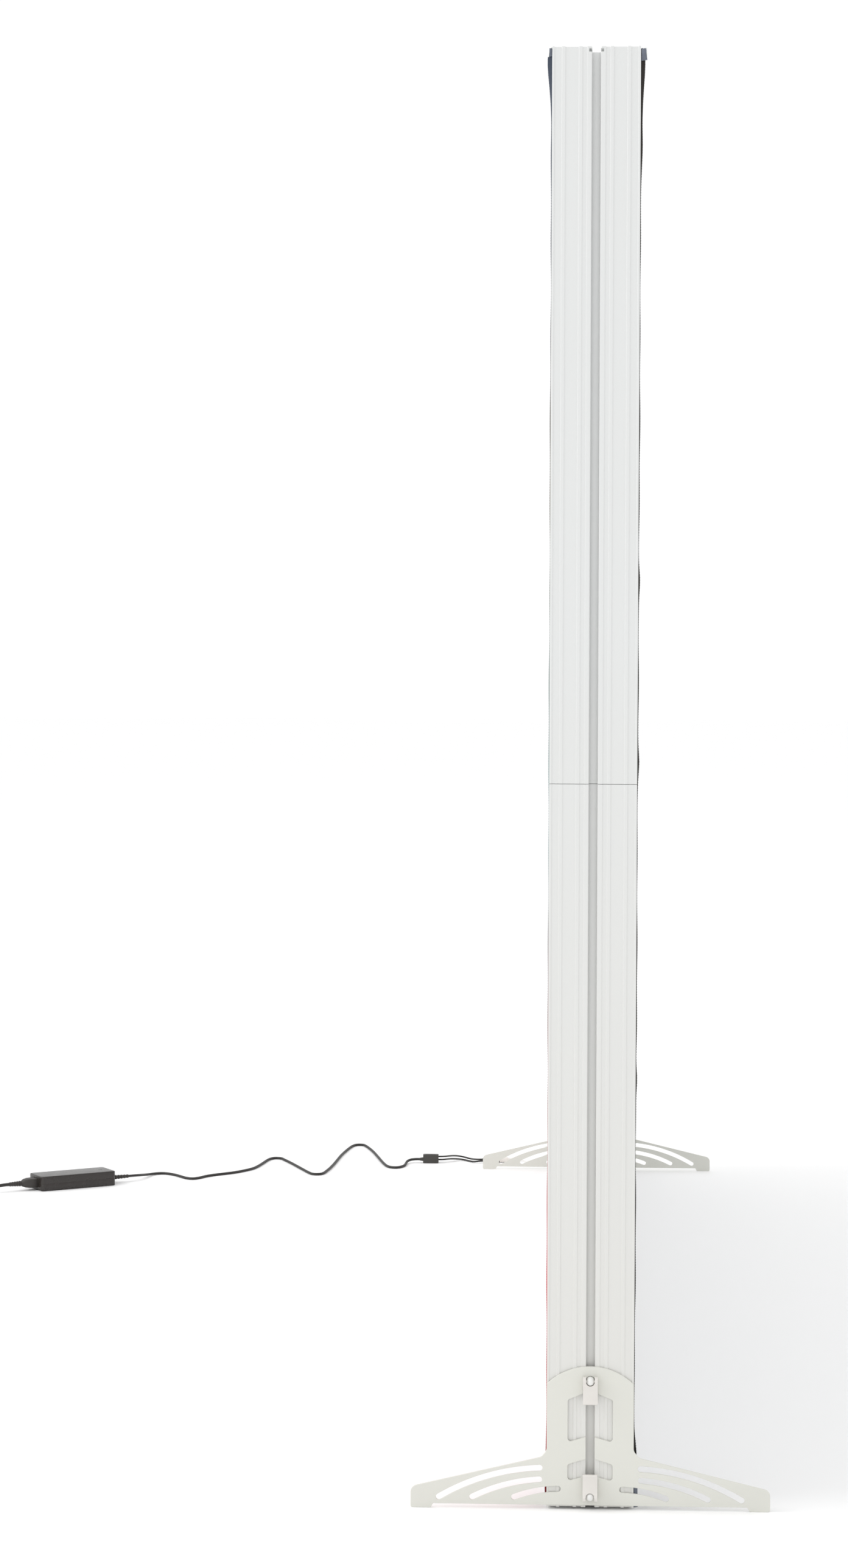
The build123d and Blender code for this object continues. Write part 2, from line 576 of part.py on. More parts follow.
# ================================================================ cam clamps


def clamp_frame(side, level):
    """Place of a clamp: its foot face, the way out of the post, its height and the way its handle lies."""
    x, inwards = ENDS[side]
    out = -inwards
    return x + out * FOOT_THICKNESS, out, CLAMP_HEIGHTS[level], (-1 if level == "top" else 1)


def t_bolt(side, level):
    """A T-head in the post's slot and a round shank with a domed end, drilled for the lever's pin."""
    face, out, z, _ = clamp_frame(side, level)
    outer, _ = ENDS[side]
    top = outer - out * (SLOT_LIP + BOLT_HEAD_GAP)
    pin = face + out * PIN_OFFSET
    head_plane = Plane(origin=(top, 0, z), x_dir=(0, 1, 0), z_dir=(-out, 0, 0))
    head = extrude(head_plane * RectangleRounded(HEAD_ACROSS, HEAD_ALONG, BOLT_HEAD_CORNER), HEAD_THICKNESS)
    body = head + rod((top, 0, z), (pin, 0, z), BOLT_SHANK / 2) + Pos(pin, 0, z) * Sphere(BOLT_SHANK / 2)
    return body - rod((pin, -BOLT_SHANK, z), (pin, BOLT_SHANK, z), PIN_DIAMETER / 2)


def lever_side():
    """The lever seen from the side: local X is out from the foot plate, local Y runs along the handle."""
    centre = PIN_OFFSET - CAM_THROW
    top, foot = centre + CAM_RADIUS, centre - CAM_RADIUS
    tip = LEVER_LENGTH - CAM_RADIUS
    heel, palm = [(foot + away, along) for away, along in LEVER_PALM]
    inner_drop, inner_step, outer_step, bulge, outer_drop = LEVER_TIP_ROUND
    inner_corner = (LEVER_TIP_INNER, tip - inner_drop)
    tip_start, tip_end = (LEVER_TIP_INNER + inner_step, tip), (LEVER_TIP_OUTER - outer_step, tip)
    outer_corner = (LEVER_TIP_OUTER, tip - outer_drop)
    lines = [
        ThreePointArc((top, 0), (centre, -CAM_RADIUS), (foot, 0)),
        Line((foot, 0), heel),
        ThreePointArc(heel, palm, inner_corner),
        ThreePointArc(inner_corner, tip_start, tip_end),
        ThreePointArc(tip_end, (LEVER_TIP_OUTER - bulge, tip - bulge), outer_corner),
        ThreePointArc(outer_corner, (LEVER_WAIST, tip * LEVER_WAIST_SHARE), (top, 0)),
    ]
    return make_face(Curve() + lines)


def cam_lever(side, level):
    """A forked lever whose round end presses on the foot plate."""
    face, out, z, handle = clamp_frame(side, level)
    section = Plane(origin=(face, 0, z), x_dir=(out, 0, 0), z_dir=(0, -out * handle, 0)) * lever_side()
    body = extrude(section, LEVER_WIDTH / 2, both=True)
    tip = z + handle * (LEVER_LENGTH - CAM_RADIUS)
    corners = body.edges().filter_by(Axis.X).filter_by_position(Axis.Z, tip - 2, tip + 2)
    if corners:
        body = fillet(corners, LEVER_CORNER)
    near, far = sorted((face - out, face + out * (LEVER_TIP_OUTER + CAM_RADIUS)))
    low, high = sorted((z - handle * (CAM_RADIUS + 1), z))
    body -= box((near, -FORK_SLOT / 2, low), (far, FORK_SLOT / 2, high))
    body -= rod((near, 0, z), (far, 0, z), FORK_SLOT / 2)
    pin = face + out * PIN_OFFSET
    return body - rod((pin, -LEVER_WIDTH, z), (pin, LEVER_WIDTH, z), PIN_DIAMETER / 2 + PIN_CLEARANCE)


def cross_pin(side, level):
    """The pin through a lever's cheeks and its T-bolt's shank."""
    face, out, z, _ = clamp_frame(side, level)
    pin = face + out * PIN_OFFSET
    return rod((pin, -LEVER_WIDTH / 2, z), (pin, LEVER_WIDTH / 2, z), PIN_DIAMETER / 2)


# ================================================================ cables


def route_radii(points):
    """The arc at each inner point: 0.45 of the shorter run, over the tangent of half the turn."""
    radii = []
    for before, here, after in zip(points, points[1:], points[2:]):
        first, second = Vector(here) - Vector(before), Vector(after) - Vector(here)
        half_turn = math.radians(first.get_angle(second)) / 2
        radii.append(0.45 * min(first.length, second.length) / math.tan(half_turn))
    return radii


def cord(name, points, diameter):
    """A tube along a route, with its radii and its volume printed against section times length."""
    radii = route_radii(points)
    path = FilletPolyline(*points, radius=radii)
    section = Plane(origin=path @ 0, z_dir=path % 0) * Circle(diameter / 2)
    tube = sweep(section, path=path)
    runs = [(Vector(b) - Vector(a)).length for a, b in zip(points, points[1:])]
    share = tube.volume / (math.pi * diameter**2 / 4 * path.length)
    print(
        f"{name}: length {path.length:.0f}, longest run {max(runs):.0f}, volume share {share:.4f},",
        f"tightest arc {min(radii):.1f} = {min(radii) / diameter:.1f} diameters",
    )
    uneven = [i for i, (a, b) in enumerate(zip(runs, runs[1:])) if max(a, b) > 2.05 * min(a, b)]
    if uneven:
        print(f"  runs more than twice a neighbour, after points {uneven}")
    print("  arcs " + " ".join(f"{r:.0f}" for r in radii))
    return tube


def along(start, direction, distance):
    """A point at a distance from a start, along a direction."""
    unit = Vector(direction).normalized()
    return Vector(start) + unit * distance


def lead_connector(white, black):
    """The socket on a white lead and the plug on a black one, end to end between the two leads."""
    start, end = Vector(white[-1]), Vector(black[0])
    way = end - start
    spare = way.length - SOCKET_LENGTH - PLUG_LENGTH - RELIEF_LENGTH
    meet = along(start, way, SOCKET_LENGTH + spare / 2)
    tail = along(meet, way, PLUG_LENGTH + spare / 2)
    socket = rod(start, meet, SOCKET_DIAMETER / 2)
    relief = rod(tail, end, SOCKET_DIAMETER / 2 - CONNECTOR_STEP, RELIEF_TIP / 2)
    return socket, rod(meet, tail, SOCKET_DIAMETER / 2) + relief


def splitter_block():
    """The moulded block where two leads join one cord, with a short nose round the cord."""
    x, y = SPLITTER_CENTRE
    wide, long, high = SPLITTER_SIZE
    body = Pos(x, y, high / 2) * Box(wide, long, high)
    body = fillet(body.edges().filter_by(Axis.Z), SPLITTER_CORNER)
    root, tip = [DC_DIAMETER / 2 + wall for wall in SPLITTER_NOSE_WALLS]
    return body + rod((DC_CORD[0][0], y + long / 2, SPLITTER_NOSE_Z), DC_CORD[0], root, tip)


def mains_coil():
    """The outer shape of the put-away mains lead."""
    x, y = COIL_CENTRE
    half = COIL_TURNS_WIDE * MAINS_DIAMETER / 2
    height = COIL_TURNS_HIGH * MAINS_DIAMETER + COIL_SLACK
    outer = rod((x, y, 0), (x, y, height), COIL_MEAN_RADIUS + half)
    return outer - rod((x, y, -1), (x, y, height + 1), COIL_MEAN_RADIUS - half)


def mains_plug():
    """The moulded mains plug with its strain relief, and its blades and earth pin."""
    long, wide, high = MAINS_PLUG_SIZE
    relief, thick, thin = MAINS_PLUG_RELIEF
    end = Vector(PLUG_CORD[-1])
    way = Vector(PLUG_CORD[-1]) - Vector(PLUG_CORD[-2])
    way = Vector(way.X, way.Y, 0).normalized()
    face = end + way * relief
    frame = Plane(origin=(face.X, face.Y, high / 2), x_dir=way, z_dir=(0, 0, 1))
    body = frame * (Pos(long / 2, 0, 0) * Box(long, wide, high))
    body = fillet(body.edges(), PLUG_CORNER)
    body += rod(end, face + way, thin / 2, thick / 2)
    pins = []
    for y in (-BLADE_PITCH / 2, BLADE_PITCH / 2):
        pins.append(frame * (Pos(long + BLADE[0] / 2, y, BLADE_RAISE) * Box(*BLADE)))
    length, diameter = EARTH_PIN
    pins.append(frame * rod((long, 0, -EARTH_DROP), (long + length, 0, -EARTH_DROP), diameter / 2))
    return body, pins


# ================================================================ adapter


def adapter_place():
    """The adapter's own frame set on the floor."""
    return Location((*ADAPTER_CENTRE, 0.0), (0, 0, ADAPTER_TURN))


def adapter_shell(top):
    """One half of the adapter's case, open towards the other half."""
    long, wide, high = ADAPTER_SIZE
    wall = ADAPTER_WALL
    outer = Pos(0, 0, high / 2) * Box(long, wide, high)
    outer = fillet(outer.edges().filter_by(Axis.Z), ADAPTER_CORNER)
    outer = fillet(outer.edges().group_by(Axis.Z)[0] + outer.edges().group_by(Axis.Z)[-1], ADAPTER_EDGE)
    inner = Pos(0, 0, high / 2) * Box(long - 2 * wall, wide - 2 * wall, high - 2 * wall)
    inner = fillet(inner.edges().filter_by(Axis.Z), ADAPTER_CORNER - wall)
    shell = outer - inner
    shell -= Pos(-long / 2, 0, INLET_Z) * Box(3 * wall, *INLET_SIZE[1:])
    shell -= rod((long / 2 - 2 * wall, 0, DC_EXIT_Z), (long / 2 + 1, 0, DC_EXIT_Z), DC_RELIEF_NECK / 2)
    away = (-long, -wide, -1.0), (long, wide, ADAPTER_SPLIT)
    if not top:
        away = (-long, -wide, ADAPTER_SPLIT), (long, wide, high + 1)
    return adapter_place() * (shell - box(*away))


def adapter_board():
    """The circuit board with its transformer, capacitors and heat sink."""
    long, wide, thick = ADAPTER_BOARD
    top = ADAPTER_BOARD_Z + thick
    board = Pos(ADAPTER_BOARD_SHIFT, 0, ADAPTER_BOARD_Z + thick / 2) * Box(long, wide, thick)
    for low, high, height in BOARD_BLOCKS:
        board += box((*low, top), (*high, top + height))
    for place, radius, height in BOARD_CANS:
        board += rod((*place, top), (*place, top + height), radius)
    return adapter_place() * board


def dc_strain_relief():
    """The tapered strain relief, its neck filling the case's hole."""
    long = ADAPTER_SIZE[0]
    length, thick, thin = DC_RELIEF
    face = long / 2
    body = rod((face - ADAPTER_WALL, 0, DC_EXIT_Z), (face, 0, DC_EXIT_Z), DC_RELIEF_NECK / 2)
    body += rod((face, 0, DC_EXIT_Z), (face + length, 0, DC_EXIT_Z), thick / 2, thin / 2)
    return adapter_place() * body


def ac_inlet():
    """The appliance inlet in the case's end, a cup that takes the plug's nose."""
    face = -ADAPTER_SIZE[0] / 2
    deep, wide, high = INLET_SIZE
    cup = Pos(face + deep / 2, 0, INLET_Z) * Box(deep, wide, high)
    hole_deep, hole_wide, hole_high = INLET_CAVITY
    cup -= Pos(face + hole_deep / 2, 0, INLET_Z) * Box(hole_deep, hole_wide, hole_high)
    return adapter_place() * cup


def inlet_plug():
    """The moulded plug in the inlet, with its nose and its strain relief."""
    face = -ADAPTER_SIZE[0] / 2
    long, wide, high = INLET_PLUG_SIZE
    relief, thick, thin = INLET_RELIEF
    body = Pos(face - long / 2, 0, INLET_Z) * Box(long, wide, high)
    body = fillet(body.edges().filter_by(Axis.X), PLUG_CORNER)
    body += Pos(face + NOSE_SIZE[0] / 2, 0, INLET_Z) * Box(*NOSE_SIZE)
    body += rod((face - long, 0, INLET_Z), (face - long - relief, 0, INLET_Z), thick / 2, thin / 2)
    return adapter_place() * body


# ================================================================ build


def build_frame():
    """Posts, rails and what joins them."""
    for side in ENDS:
        for level, word in (("bottom", "lower"), ("top", "upper")):
            write(f"{side}_post_{word}", post(side, level))
    words = ("left", "centre", "right")
    for level in ("top", "bottom"):
        for index in range(RAIL_SEGMENTS):
            write(f"{level}_rail_{words[index]}", rail(level, index))
    corners = [(side, level) for side in ENDS for level in ("top", "bottom")]
    write("corner_brackets", [plate for side, level in corners for plate in corner_bracket(side, level)])
    post_bars = [bar for x, inwards in ENDS.values() for bar in splice(FRAME_MIDDLE, False, x, inwards)]
    write("post_splices", post_bars)
    pitch = FRAME_LENGTH / RAIL_SEGMENTS
    joints = [LEFT + pitch * i for i in range(1, RAIL_SEGMENTS)]
    levels = ((FRAME_TOP, -1), (FRAME_BOTTOM, 1))
    write("rail_splices", [b for z, upwards in levels for x in joints for b in splice(x, True, z, upwards)])
    for side, x in (("left", -BRACE_OFFSET), ("right", BRACE_OFFSET)):
        write(f"{side}_brace", brace(x))
    places = [(x, level) for x in (-BRACE_OFFSET, BRACE_OFFSET) for level in ("top", "bottom")]
    write("brace_sockets", [brace_socket(x, level) for x, level in places])


def build_faces_and_lights():
    """Fabric skins with their edge strips, light boards, lenses and wiring."""
    for name, face in (("front", -1), ("back", 1)):
        write(f"{name}_fabric", fabric(face))
        write(f"{name}_keder", keder(face))
    for side in ENDS:
        write(f"{side}_light_boards", light_board(side))
        write(f"{side}_light_lenses", lenses(side))
    write("inner_wiring", inner_wiring())
    write("lead_grommets", [grommet(height) for height in EXIT_HEIGHTS])


def build_feet():
    """Foot plates and their cam clamps."""
    for side in ENDS:
        write(f"{side}_foot_plate", foot_plate(side))
        for level in CLAMP_HEIGHTS:
            write(f"{side}_{level}_t_bolt", t_bolt(side, level))
            write(f"{side}_{level}_cam_lever", cam_lever(side, level))
            write(f"{side}_{level}_cross_pin", cross_pin(side, level))


def build_supply():
    """Leads, connectors, splitter, adapter and the mains lead."""
    for letter, white, black in (("a", WHITE_LEAD_A, BLACK_LEAD_A), ("b", WHITE_LEAD_B, BLACK_LEAD_B)):
        lay(f"white_lead_{letter}", cord(f"white_lead_{letter}", white, LEAD_DIAMETER))
        lay(f"splitter_lead_{letter}", cord(f"splitter_lead_{letter}", black, LEAD_DIAMETER))
        socket, plug = lead_connector(white, black)
        lay(f"lead_socket_{letter}", socket)
        lay(f"splitter_plug_{letter}", plug)
    lay("splitter_block", splitter_block())
    lay("dc_cord", cord("dc_cord", DC_CORD, DC_DIAMETER))
    lay("adapter_case_top", adapter_shell(True))
    lay("adapter_case_bottom", adapter_shell(False))
    lay("adapter_board", adapter_board())
    lay("dc_strain_relief", dc_strain_relief())
    lay("ac_inlet", ac_inlet())
    lay("inlet_plug", inlet_plug())
    lead_in = cord("mains_cord", MAINS_CORD, MAINS_DIAMETER)
    lay("mains_cord", [lead_in, cord("plug_cord", PLUG_CORD, MAINS_DIAMETER)])
    lay("mains_coil", mains_coil())
    body, pins = mains_plug()
    lay("mains_plug", body)
    lay("mains_plug_pins", pins)


os.makedirs("parts", exist_ok=True)
build_frame()
build_faces_and_lights()
build_feet()
build_supply()
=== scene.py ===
"""Looks of a free-standing, back-lit fabric display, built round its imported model.

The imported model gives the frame, feet, clamps and boards. This script gives every surface its finish, and
adds the printed skins, the cam levers, the cables with what is on them, and a plain studio. Lengths are
metres, and rows and routes that are given in millimetres say so.
"""

import json
import logging
import math
from collections.abc import Sequence
from dataclasses import dataclass, field
from enum import Enum

import bmesh
import bpy
from mathutils import Matrix, Vector


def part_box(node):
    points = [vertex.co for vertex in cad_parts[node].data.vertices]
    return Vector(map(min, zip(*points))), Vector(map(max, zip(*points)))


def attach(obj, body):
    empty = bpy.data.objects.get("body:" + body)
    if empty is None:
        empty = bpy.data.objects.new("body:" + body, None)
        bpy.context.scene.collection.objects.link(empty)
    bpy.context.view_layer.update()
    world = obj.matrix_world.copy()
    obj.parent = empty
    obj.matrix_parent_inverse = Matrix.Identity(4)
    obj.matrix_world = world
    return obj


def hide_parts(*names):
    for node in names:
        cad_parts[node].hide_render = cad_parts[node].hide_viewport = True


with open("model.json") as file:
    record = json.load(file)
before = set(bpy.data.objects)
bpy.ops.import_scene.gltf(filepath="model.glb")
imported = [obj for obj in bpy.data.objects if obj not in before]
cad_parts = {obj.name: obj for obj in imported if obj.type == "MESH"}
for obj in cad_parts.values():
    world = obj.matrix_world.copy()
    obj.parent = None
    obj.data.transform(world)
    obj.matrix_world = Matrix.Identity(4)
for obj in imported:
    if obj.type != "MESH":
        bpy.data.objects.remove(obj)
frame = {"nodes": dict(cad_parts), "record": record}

LOG = logging.getLogger("display")
MM = 0.001
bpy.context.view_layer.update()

Point = tuple[float, float, float]
Colour = tuple[float, float, float]
Route = Sequence[Point]
Piece = bpy.types.Object
Socket = bpy.types.NodeSocket


# ---------------------------------------------------------------- routes of the cables, in millimetres
WHITE_LEAD_A = (
    (1502, 0, 132), (1514, 0, 132), (1524, 9, 125), (1526, 26, 108), (1524, 48, 88), (1521, 76, 66),
    (1521, 106, 48.5), (1538, 131, 36), (1562, 147, 26), (1585, 158, 16.5), (1601, 168.5, 9.5),
    (1607.2, 181.76, 5.5), (1603, 193, 5.5),
)  # fmt: skip
WHITE_LEAD_B = (
    (1502, 0, 112), (1514, 0, 112), (1523, 8, 105), (1524, 24, 91), (1520, 46, 74), (1517, 70, 54),
    (1516, 96, 36), (1522, 118, 24), (1545, 135, 14), (1572, 147, 6), (1598, 157, 2.6), (1614, 170, 3.6),
    (1619.88, 184.87, 5.5), (1617, 196, 5.5),
)  # fmt: skip
BLACK_LEAD_A = (
    (1582.7, 247.3, 5.5), (1579.02, 257.14, 5.5), (1582, 270, 2.8), (1597, 281, 2.2), (1610, 289, 2.2),
    (1617, 300, 3), (1613, 313, 4.4), (1602, 323, 6), (1590, 330, 7.2), (1582, 339, 7.2), (1582, 349, 7.2),
)  # fmt: skip
BLACK_LEAD_B = (
    (1602.5, 252.1, 5.5), (1599.87, 262.27, 5.5), (1604, 274, 5.5), (1614, 283, 5.5), (1621, 294, 7.5),
    (1616, 306, 10.5), (1603, 317, 13), (1590, 326, 14.2), (1581, 337, 14.2), (1581, 349, 14.2),
)  # fmt: skip
DC_CORD = (
    (1580, 391, 8), (1580, 407, 8), (1569, 418, 5.2), (1545, 420, 2.8), (1522, 421, 2.8), (1504, 426, 2.8),
    (1490, 435.5, 2.8), (1493, 451, 2.8), (1512, 460, 2.8), (1539, 467, 2.8), (1582, 476, 2.8),
    (1650, 489, 2.8), (1720, 503, 2.8), (1772, 516, 2.8), (1800, 524, 2.8), (1819, 531, 2.8),
    (1819, 548, 2.8), (1799, 555, 2.8), (1775, 559, 2.8), (1732, 564, 2.8), (1660, 571, 2.8),
    (1590, 574.5, 2.8), (1525, 578, 2.8), (1468, 582.5, 2.8), (1428, 587.5, 2.8), (1402, 590.5, 2.8),
    (1387, 598, 2.8), (1388, 614, 2.8), (1407, 623, 2.8), (1438, 635, 2.8), (1495, 656, 2.8),
    (1550, 677, 2.8), (1588, 693, 2.8), (1607, 700, 2.8), (1610, 718, 2.8), (1592, 727, 2.8),
    (1560, 732, 2.8), (1505, 739, 2.8), (1456, 749, 2.8), (1425, 767, 2.8), (1397, 786, 2.8),
    (1369, 820, 2.8), (1345, 842, 2.8), (1322, 852, 2.8), (1308, 865, 2.8), (1316, 881, 2.8),
    (1337, 894, 2.8), (1366, 915, 2.8), (1381, 936, 2.8), (1373, 955, 3), (1350, 966, 4.5),
    (1325, 973, 7.5), (1301, 979, 10.5), (1287.03, 987.15, 12), (1278.37, 1000.62, 12),
)  # fmt: skip
MAINS_LEAD_IN = (
    (1127.98, 1234.43, 15.5), (1117.7, 1250.42, 15.5), (1107, 1268, 11), (1099, 1286, 6.4), (1092, 1305, 4.3),
)  # fmt: skip
MAINS_LEAD_OUT = ((1030, 1384, 11.4), (1013, 1387, 12), (997, 1389, 12))


def metres(route: Sequence[Sequence[float]]) -> list[Point]:
    """A route's points turned from millimetres into metres."""
    return [tuple(value * MM for value in point) for point in route]


# ================================================================ finishes


class Shader:
    """A material's node tree, with short calls that add nodes and join them."""

    def __init__(self, name: str) -> None:
        """Makes the material.

        Args:
            name: The material's name.
        """
        self.material = bpy.data.materials.new(name)
        self.material.use_nodes = True
        self.nodes = self.material.node_tree.nodes
        self.links = self.material.node_tree.links
        self.surface = self.nodes["Principled BSDF"]

    def add(self, kind: str, values: dict | None = None, **settings: object) -> bpy.types.Node:
        """Adds a node.

        Args:
            kind: The node's type name.
            values: Values for its inputs, by name or number.
            **settings: The node's own properties.

        Returns:
            The node.
        """
        node = self.nodes.new(kind)
        for key, value in settings.items():
            setattr(node, key, value)
        open_inputs = {socket.name: socket for socket in node.inputs if socket.enabled}
        for key, value in (values or {}).items():
            socket = node.inputs[key] if isinstance(key, int) else open_inputs[key]
            socket.default_value = value
        return node

    def join(self, output: Socket, target: Socket) -> None:
        """Joins an output to an input."""
        self.links.new(output, target)

    def place(self, scale: Point = (1.0, 1.0, 1.0), turn: Point = (0.0, 0.0, 0.0)) -> Socket:
        """Object coordinates, scaled and turned.

        Args:
            scale: Scale along each axis.
            turn: Turn about each axis, in radians.

        Returns:
            The vector output.
        """
        coordinates = self.add("ShaderNodeTexCoord")
        mapping = self.add("ShaderNodeMapping", {"Scale": scale, "Rotation": turn})
        self.join(coordinates.outputs["Object"], mapping.inputs["Vector"])
        return mapping.outputs["Vector"]

    def noise(self, vector: Socket, scale: float, detail: float = 4.0) -> Socket:
        """A noise pattern's grey output.

        Args:
            vector: Where it is read.
            scale: Cells to a metre.
            detail: Number of finer layers.

        Returns:
            The grey output.
        """
        node = self.add("ShaderNodeTexNoise", {"Scale": scale, "Detail": detail, "Roughness": 0.6})
        self.join(vector, node.inputs["Vector"])
        return node.outputs["Fac"]

    def ramp(
        self, source: Socket, stops: Sequence[tuple[float, Colour]]
    ) -> Socket:
        """A colour ramp.

        Args:
            source: The grey value that it reads.
            stops: Each colour with its place from 0 to 1.

        Returns:
            The colour output.
        """
        node = self.add("ShaderNodeValToRGB")
        elements = node.color_ramp.elements
        elements.remove(elements[-1])
        elements[0].position = stops[0][0]
        elements[0].color = (*stops[0][1], 1.0)
        for place, colour in stops[1:]:
            elements.new(place).color = (*colour, 1.0)
        self.join(source, node.inputs["Fac"])
        return node.outputs["Color"]

    def span(self, source: Socket, start: float, end: float) -> Socket:
        """A grey pattern mapped onto a range of values."""
        node = self.add("ShaderNodeMapRange", {"To Min": start, "To Max": end})
        self.join(source, node.inputs["Value"])
        return node.outputs["Result"]

    def bump(self, height: Socket, depth: float, strength: float = 1.0) -> None:
        """Adds a bump over the ones that are there.

        Args:
            height: The grey pattern.
            depth: Its depth in metres.
            strength: Its share, from 0 to 1.
        """
        node = self.add("ShaderNodeBump", {"Strength": strength, "Distance": depth})
        self.join(height, node.inputs["Height"])
        normal = self.surface.inputs["Normal"]
        if normal.is_linked:
            self.join(normal.links[0].from_socket, node.inputs["Normal"])
        self.join(node.outputs["Normal"], normal)


def shade(colour: Colour, share: float) -> Colour:
    """A colour made darker or lighter by a share."""
    return tuple(min(channel * share, 1.0) for channel in colour)


@dataclass(frozen=True)
class Finish:
    """What a surface is finished with."""

    name: str
    colour: Colour
    roughness: float = 0.5

    def dress(self, shader: Shader) -> None:
        """Adds the finish's own nodes; each kind of finish has its own."""

    def material(self) -> bpy.types.Material:
        """The finish's material, made the first time that it is asked for."""
        made = bpy.data.materials.get(self.name)
        if made is None:
            shader = Shader(self.name)
            shader.surface.inputs["Base Color"].default_value = (*self.colour, 1.0)
            shader.surface.inputs["Roughness"].default_value = self.roughness
            self.dress(shader)
            made = shader.material
        return made


@dataclass(frozen=True)
class PowderCoat(Finish):
    """Baked powder coat: fine orange peel, drifts of colour and gloss, and, if given, painted shade that
    darkens and warms it towards the foot and a painted shadow line along its butt joint.
    """

    grain: float = 900.0
    depth: float = 0.00005
    # Painted shade: how much the colour is darkened and warmed at the foot, and the height over which it
    # fades.
    foot_shade_tint: Colour = (1.0, 1.0, 1.0)
    foot_shade_height: float = 1.2
    # Height and width of the painted shadow line along the butt joint.
    joint: float = -1.0
    joint_width: float = 0.0007

    def dress(self, shader: Shader) -> None:
        """Adds the peel, the painted shade at the foot, the painted shadow line at the joint and the drifts.
        """
        place = shader.place()
        split = shader.add("ShaderNodeSeparateXYZ")
        shader.join(place, split.inputs["Vector"])
        share = shader.add("ShaderNodeMapRange", {"From Max": self.foot_shade_height})
        shader.join(split.outputs["Z"], share.inputs["Value"])
        sway = shader.span(shader.noise(place, 3.0, 3.0), -0.12, 0.12)
        total = shader.add("ShaderNodeMath", operation="ADD", use_clamp=True)
        shader.join(share.outputs["Result"], total.inputs[0])
        shader.join(sway, total.inputs[1])
        # Painted shade: the colour darkens and warms towards the foot.
        low = tuple(channel * tint for channel, tint in zip(self.colour, self.foot_shade_tint))
        colour = shader.ramp(total.outputs[0], [(0.0, low), (1.0, self.colour)])
        # Painted shadow: a dark line at the joint's height stands in for the shadow in the gap between the
        # post halves.
        near = shader.add("ShaderNodeMath", {1: self.joint, 2: self.joint_width / 2}, operation="COMPARE")
        shader.join(split.outputs["Z"], near.inputs[0])
        painted_joint_shadow = shader.add("ShaderNodeMixRGB", {"Color2": (*shade(self.colour, 0.3), 1.0)})
        shader.join(near.outputs[0], painted_joint_shadow.inputs["Fac"])
        shader.join(colour, painted_joint_shadow.inputs["Color1"])
        shader.join(painted_joint_shadow.outputs["Color"], shader.surface.inputs["Base Color"])
        gloss = shader.span(shader.noise(place, 14.0), self.roughness - 0.07, self.roughness + 0.07)
        shader.join(gloss, shader.surface.inputs["Roughness"])
        shader.bump(shader.noise(place, self.grain, 2.0), self.depth, 0.5)


@dataclass(frozen=True)
class MouldedPlastic(Finish):
    """Moulded plastic with a spark-eroded texture and a painted highlight that makes its sharp edges lighter.
    """

    grain: float = 1500.0
    depth: float = 0.00004
    # How much lighter the painted edge highlight makes sharp edges.
    edge_highlight: float = 1.25

    def dress(self, shader: Shader) -> None:
        """Adds the texture, the painted edge highlight and the drift of the gloss."""
        place = shader.place()
        geometry = shader.add("ShaderNodeNewGeometry")
        # Painted highlight: sharp convex edges, found by pointiness, are made lighter.
        edges = shader.span(geometry.outputs["Pointiness"], 0.0, 1.0)
        stops = [(0.50, self.colour), (0.62, shade(self.colour, self.edge_highlight))]
        shader.join(shader.ramp(edges, stops), shader.surface.inputs["Base Color"])
        gloss = shader.span(shader.noise(place, 60.0), self.roughness - 0.06, self.roughness + 0.08)
        shader.join(gloss, shader.surface.inputs["Roughness"])
        shader.bump(shader.noise(place, self.grain, 3.0), self.depth, 0.6)


@dataclass(frozen=True)
class Sheath(Finish):
    """A cable's soft sheath, with faint draw marks and dull patches from handling."""

    def dress(self, shader: Shader) -> None:
        """Adds the marks and the drift of the gloss."""
        place = shader.place()
        drift = shader.noise(place, 45.0, 3.0)
        stops = [(0.35, shade(self.colour, 0.85)), (0.7, shade(self.colour, 1.2))]
        shader.join(shader.ramp(drift, stops), shader.surface.inputs["Base Color"])
        gloss = shader.span(shader.noise(place, 220.0), self.roughness - 0.08, self.roughness + 0.1)
        shader.join(gloss, shader.surface.inputs["Roughness"])
        shader.bump(shader.noise(place, 1400.0, 2.0), 0.00003, 0.5)


@dataclass(frozen=True)
class Metal(Finish):
    """Bare or plated metal, with a grain that is drawn out along one axis."""

    grain: Point = (900.0, 900.0, 40.0)

    def dress(self, shader: Shader) -> None:
        """Adds the grain to the gloss and the bump, and a drift to the colour."""
        shader.surface.inputs["Metallic"].default_value = 1.0
        drift = shader.noise(shader.place(), 90.0, 3.0)
        stops = [(0.3, shade(self.colour, 0.9)), (0.7, shade(self.colour, 1.05))]
        shader.join(shader.ramp(drift, stops), shader.surface.inputs["Base Color"])
        grain = shader.noise(shader.place(self.grain), 1.0, 3.0)
        gloss = shader.span(grain, self.roughness - 0.08, self.roughness + 0.12)
        shader.join(gloss, shader.surface.inputs["Roughness"])
        shader.bump(grain, 0.00002, 0.5)


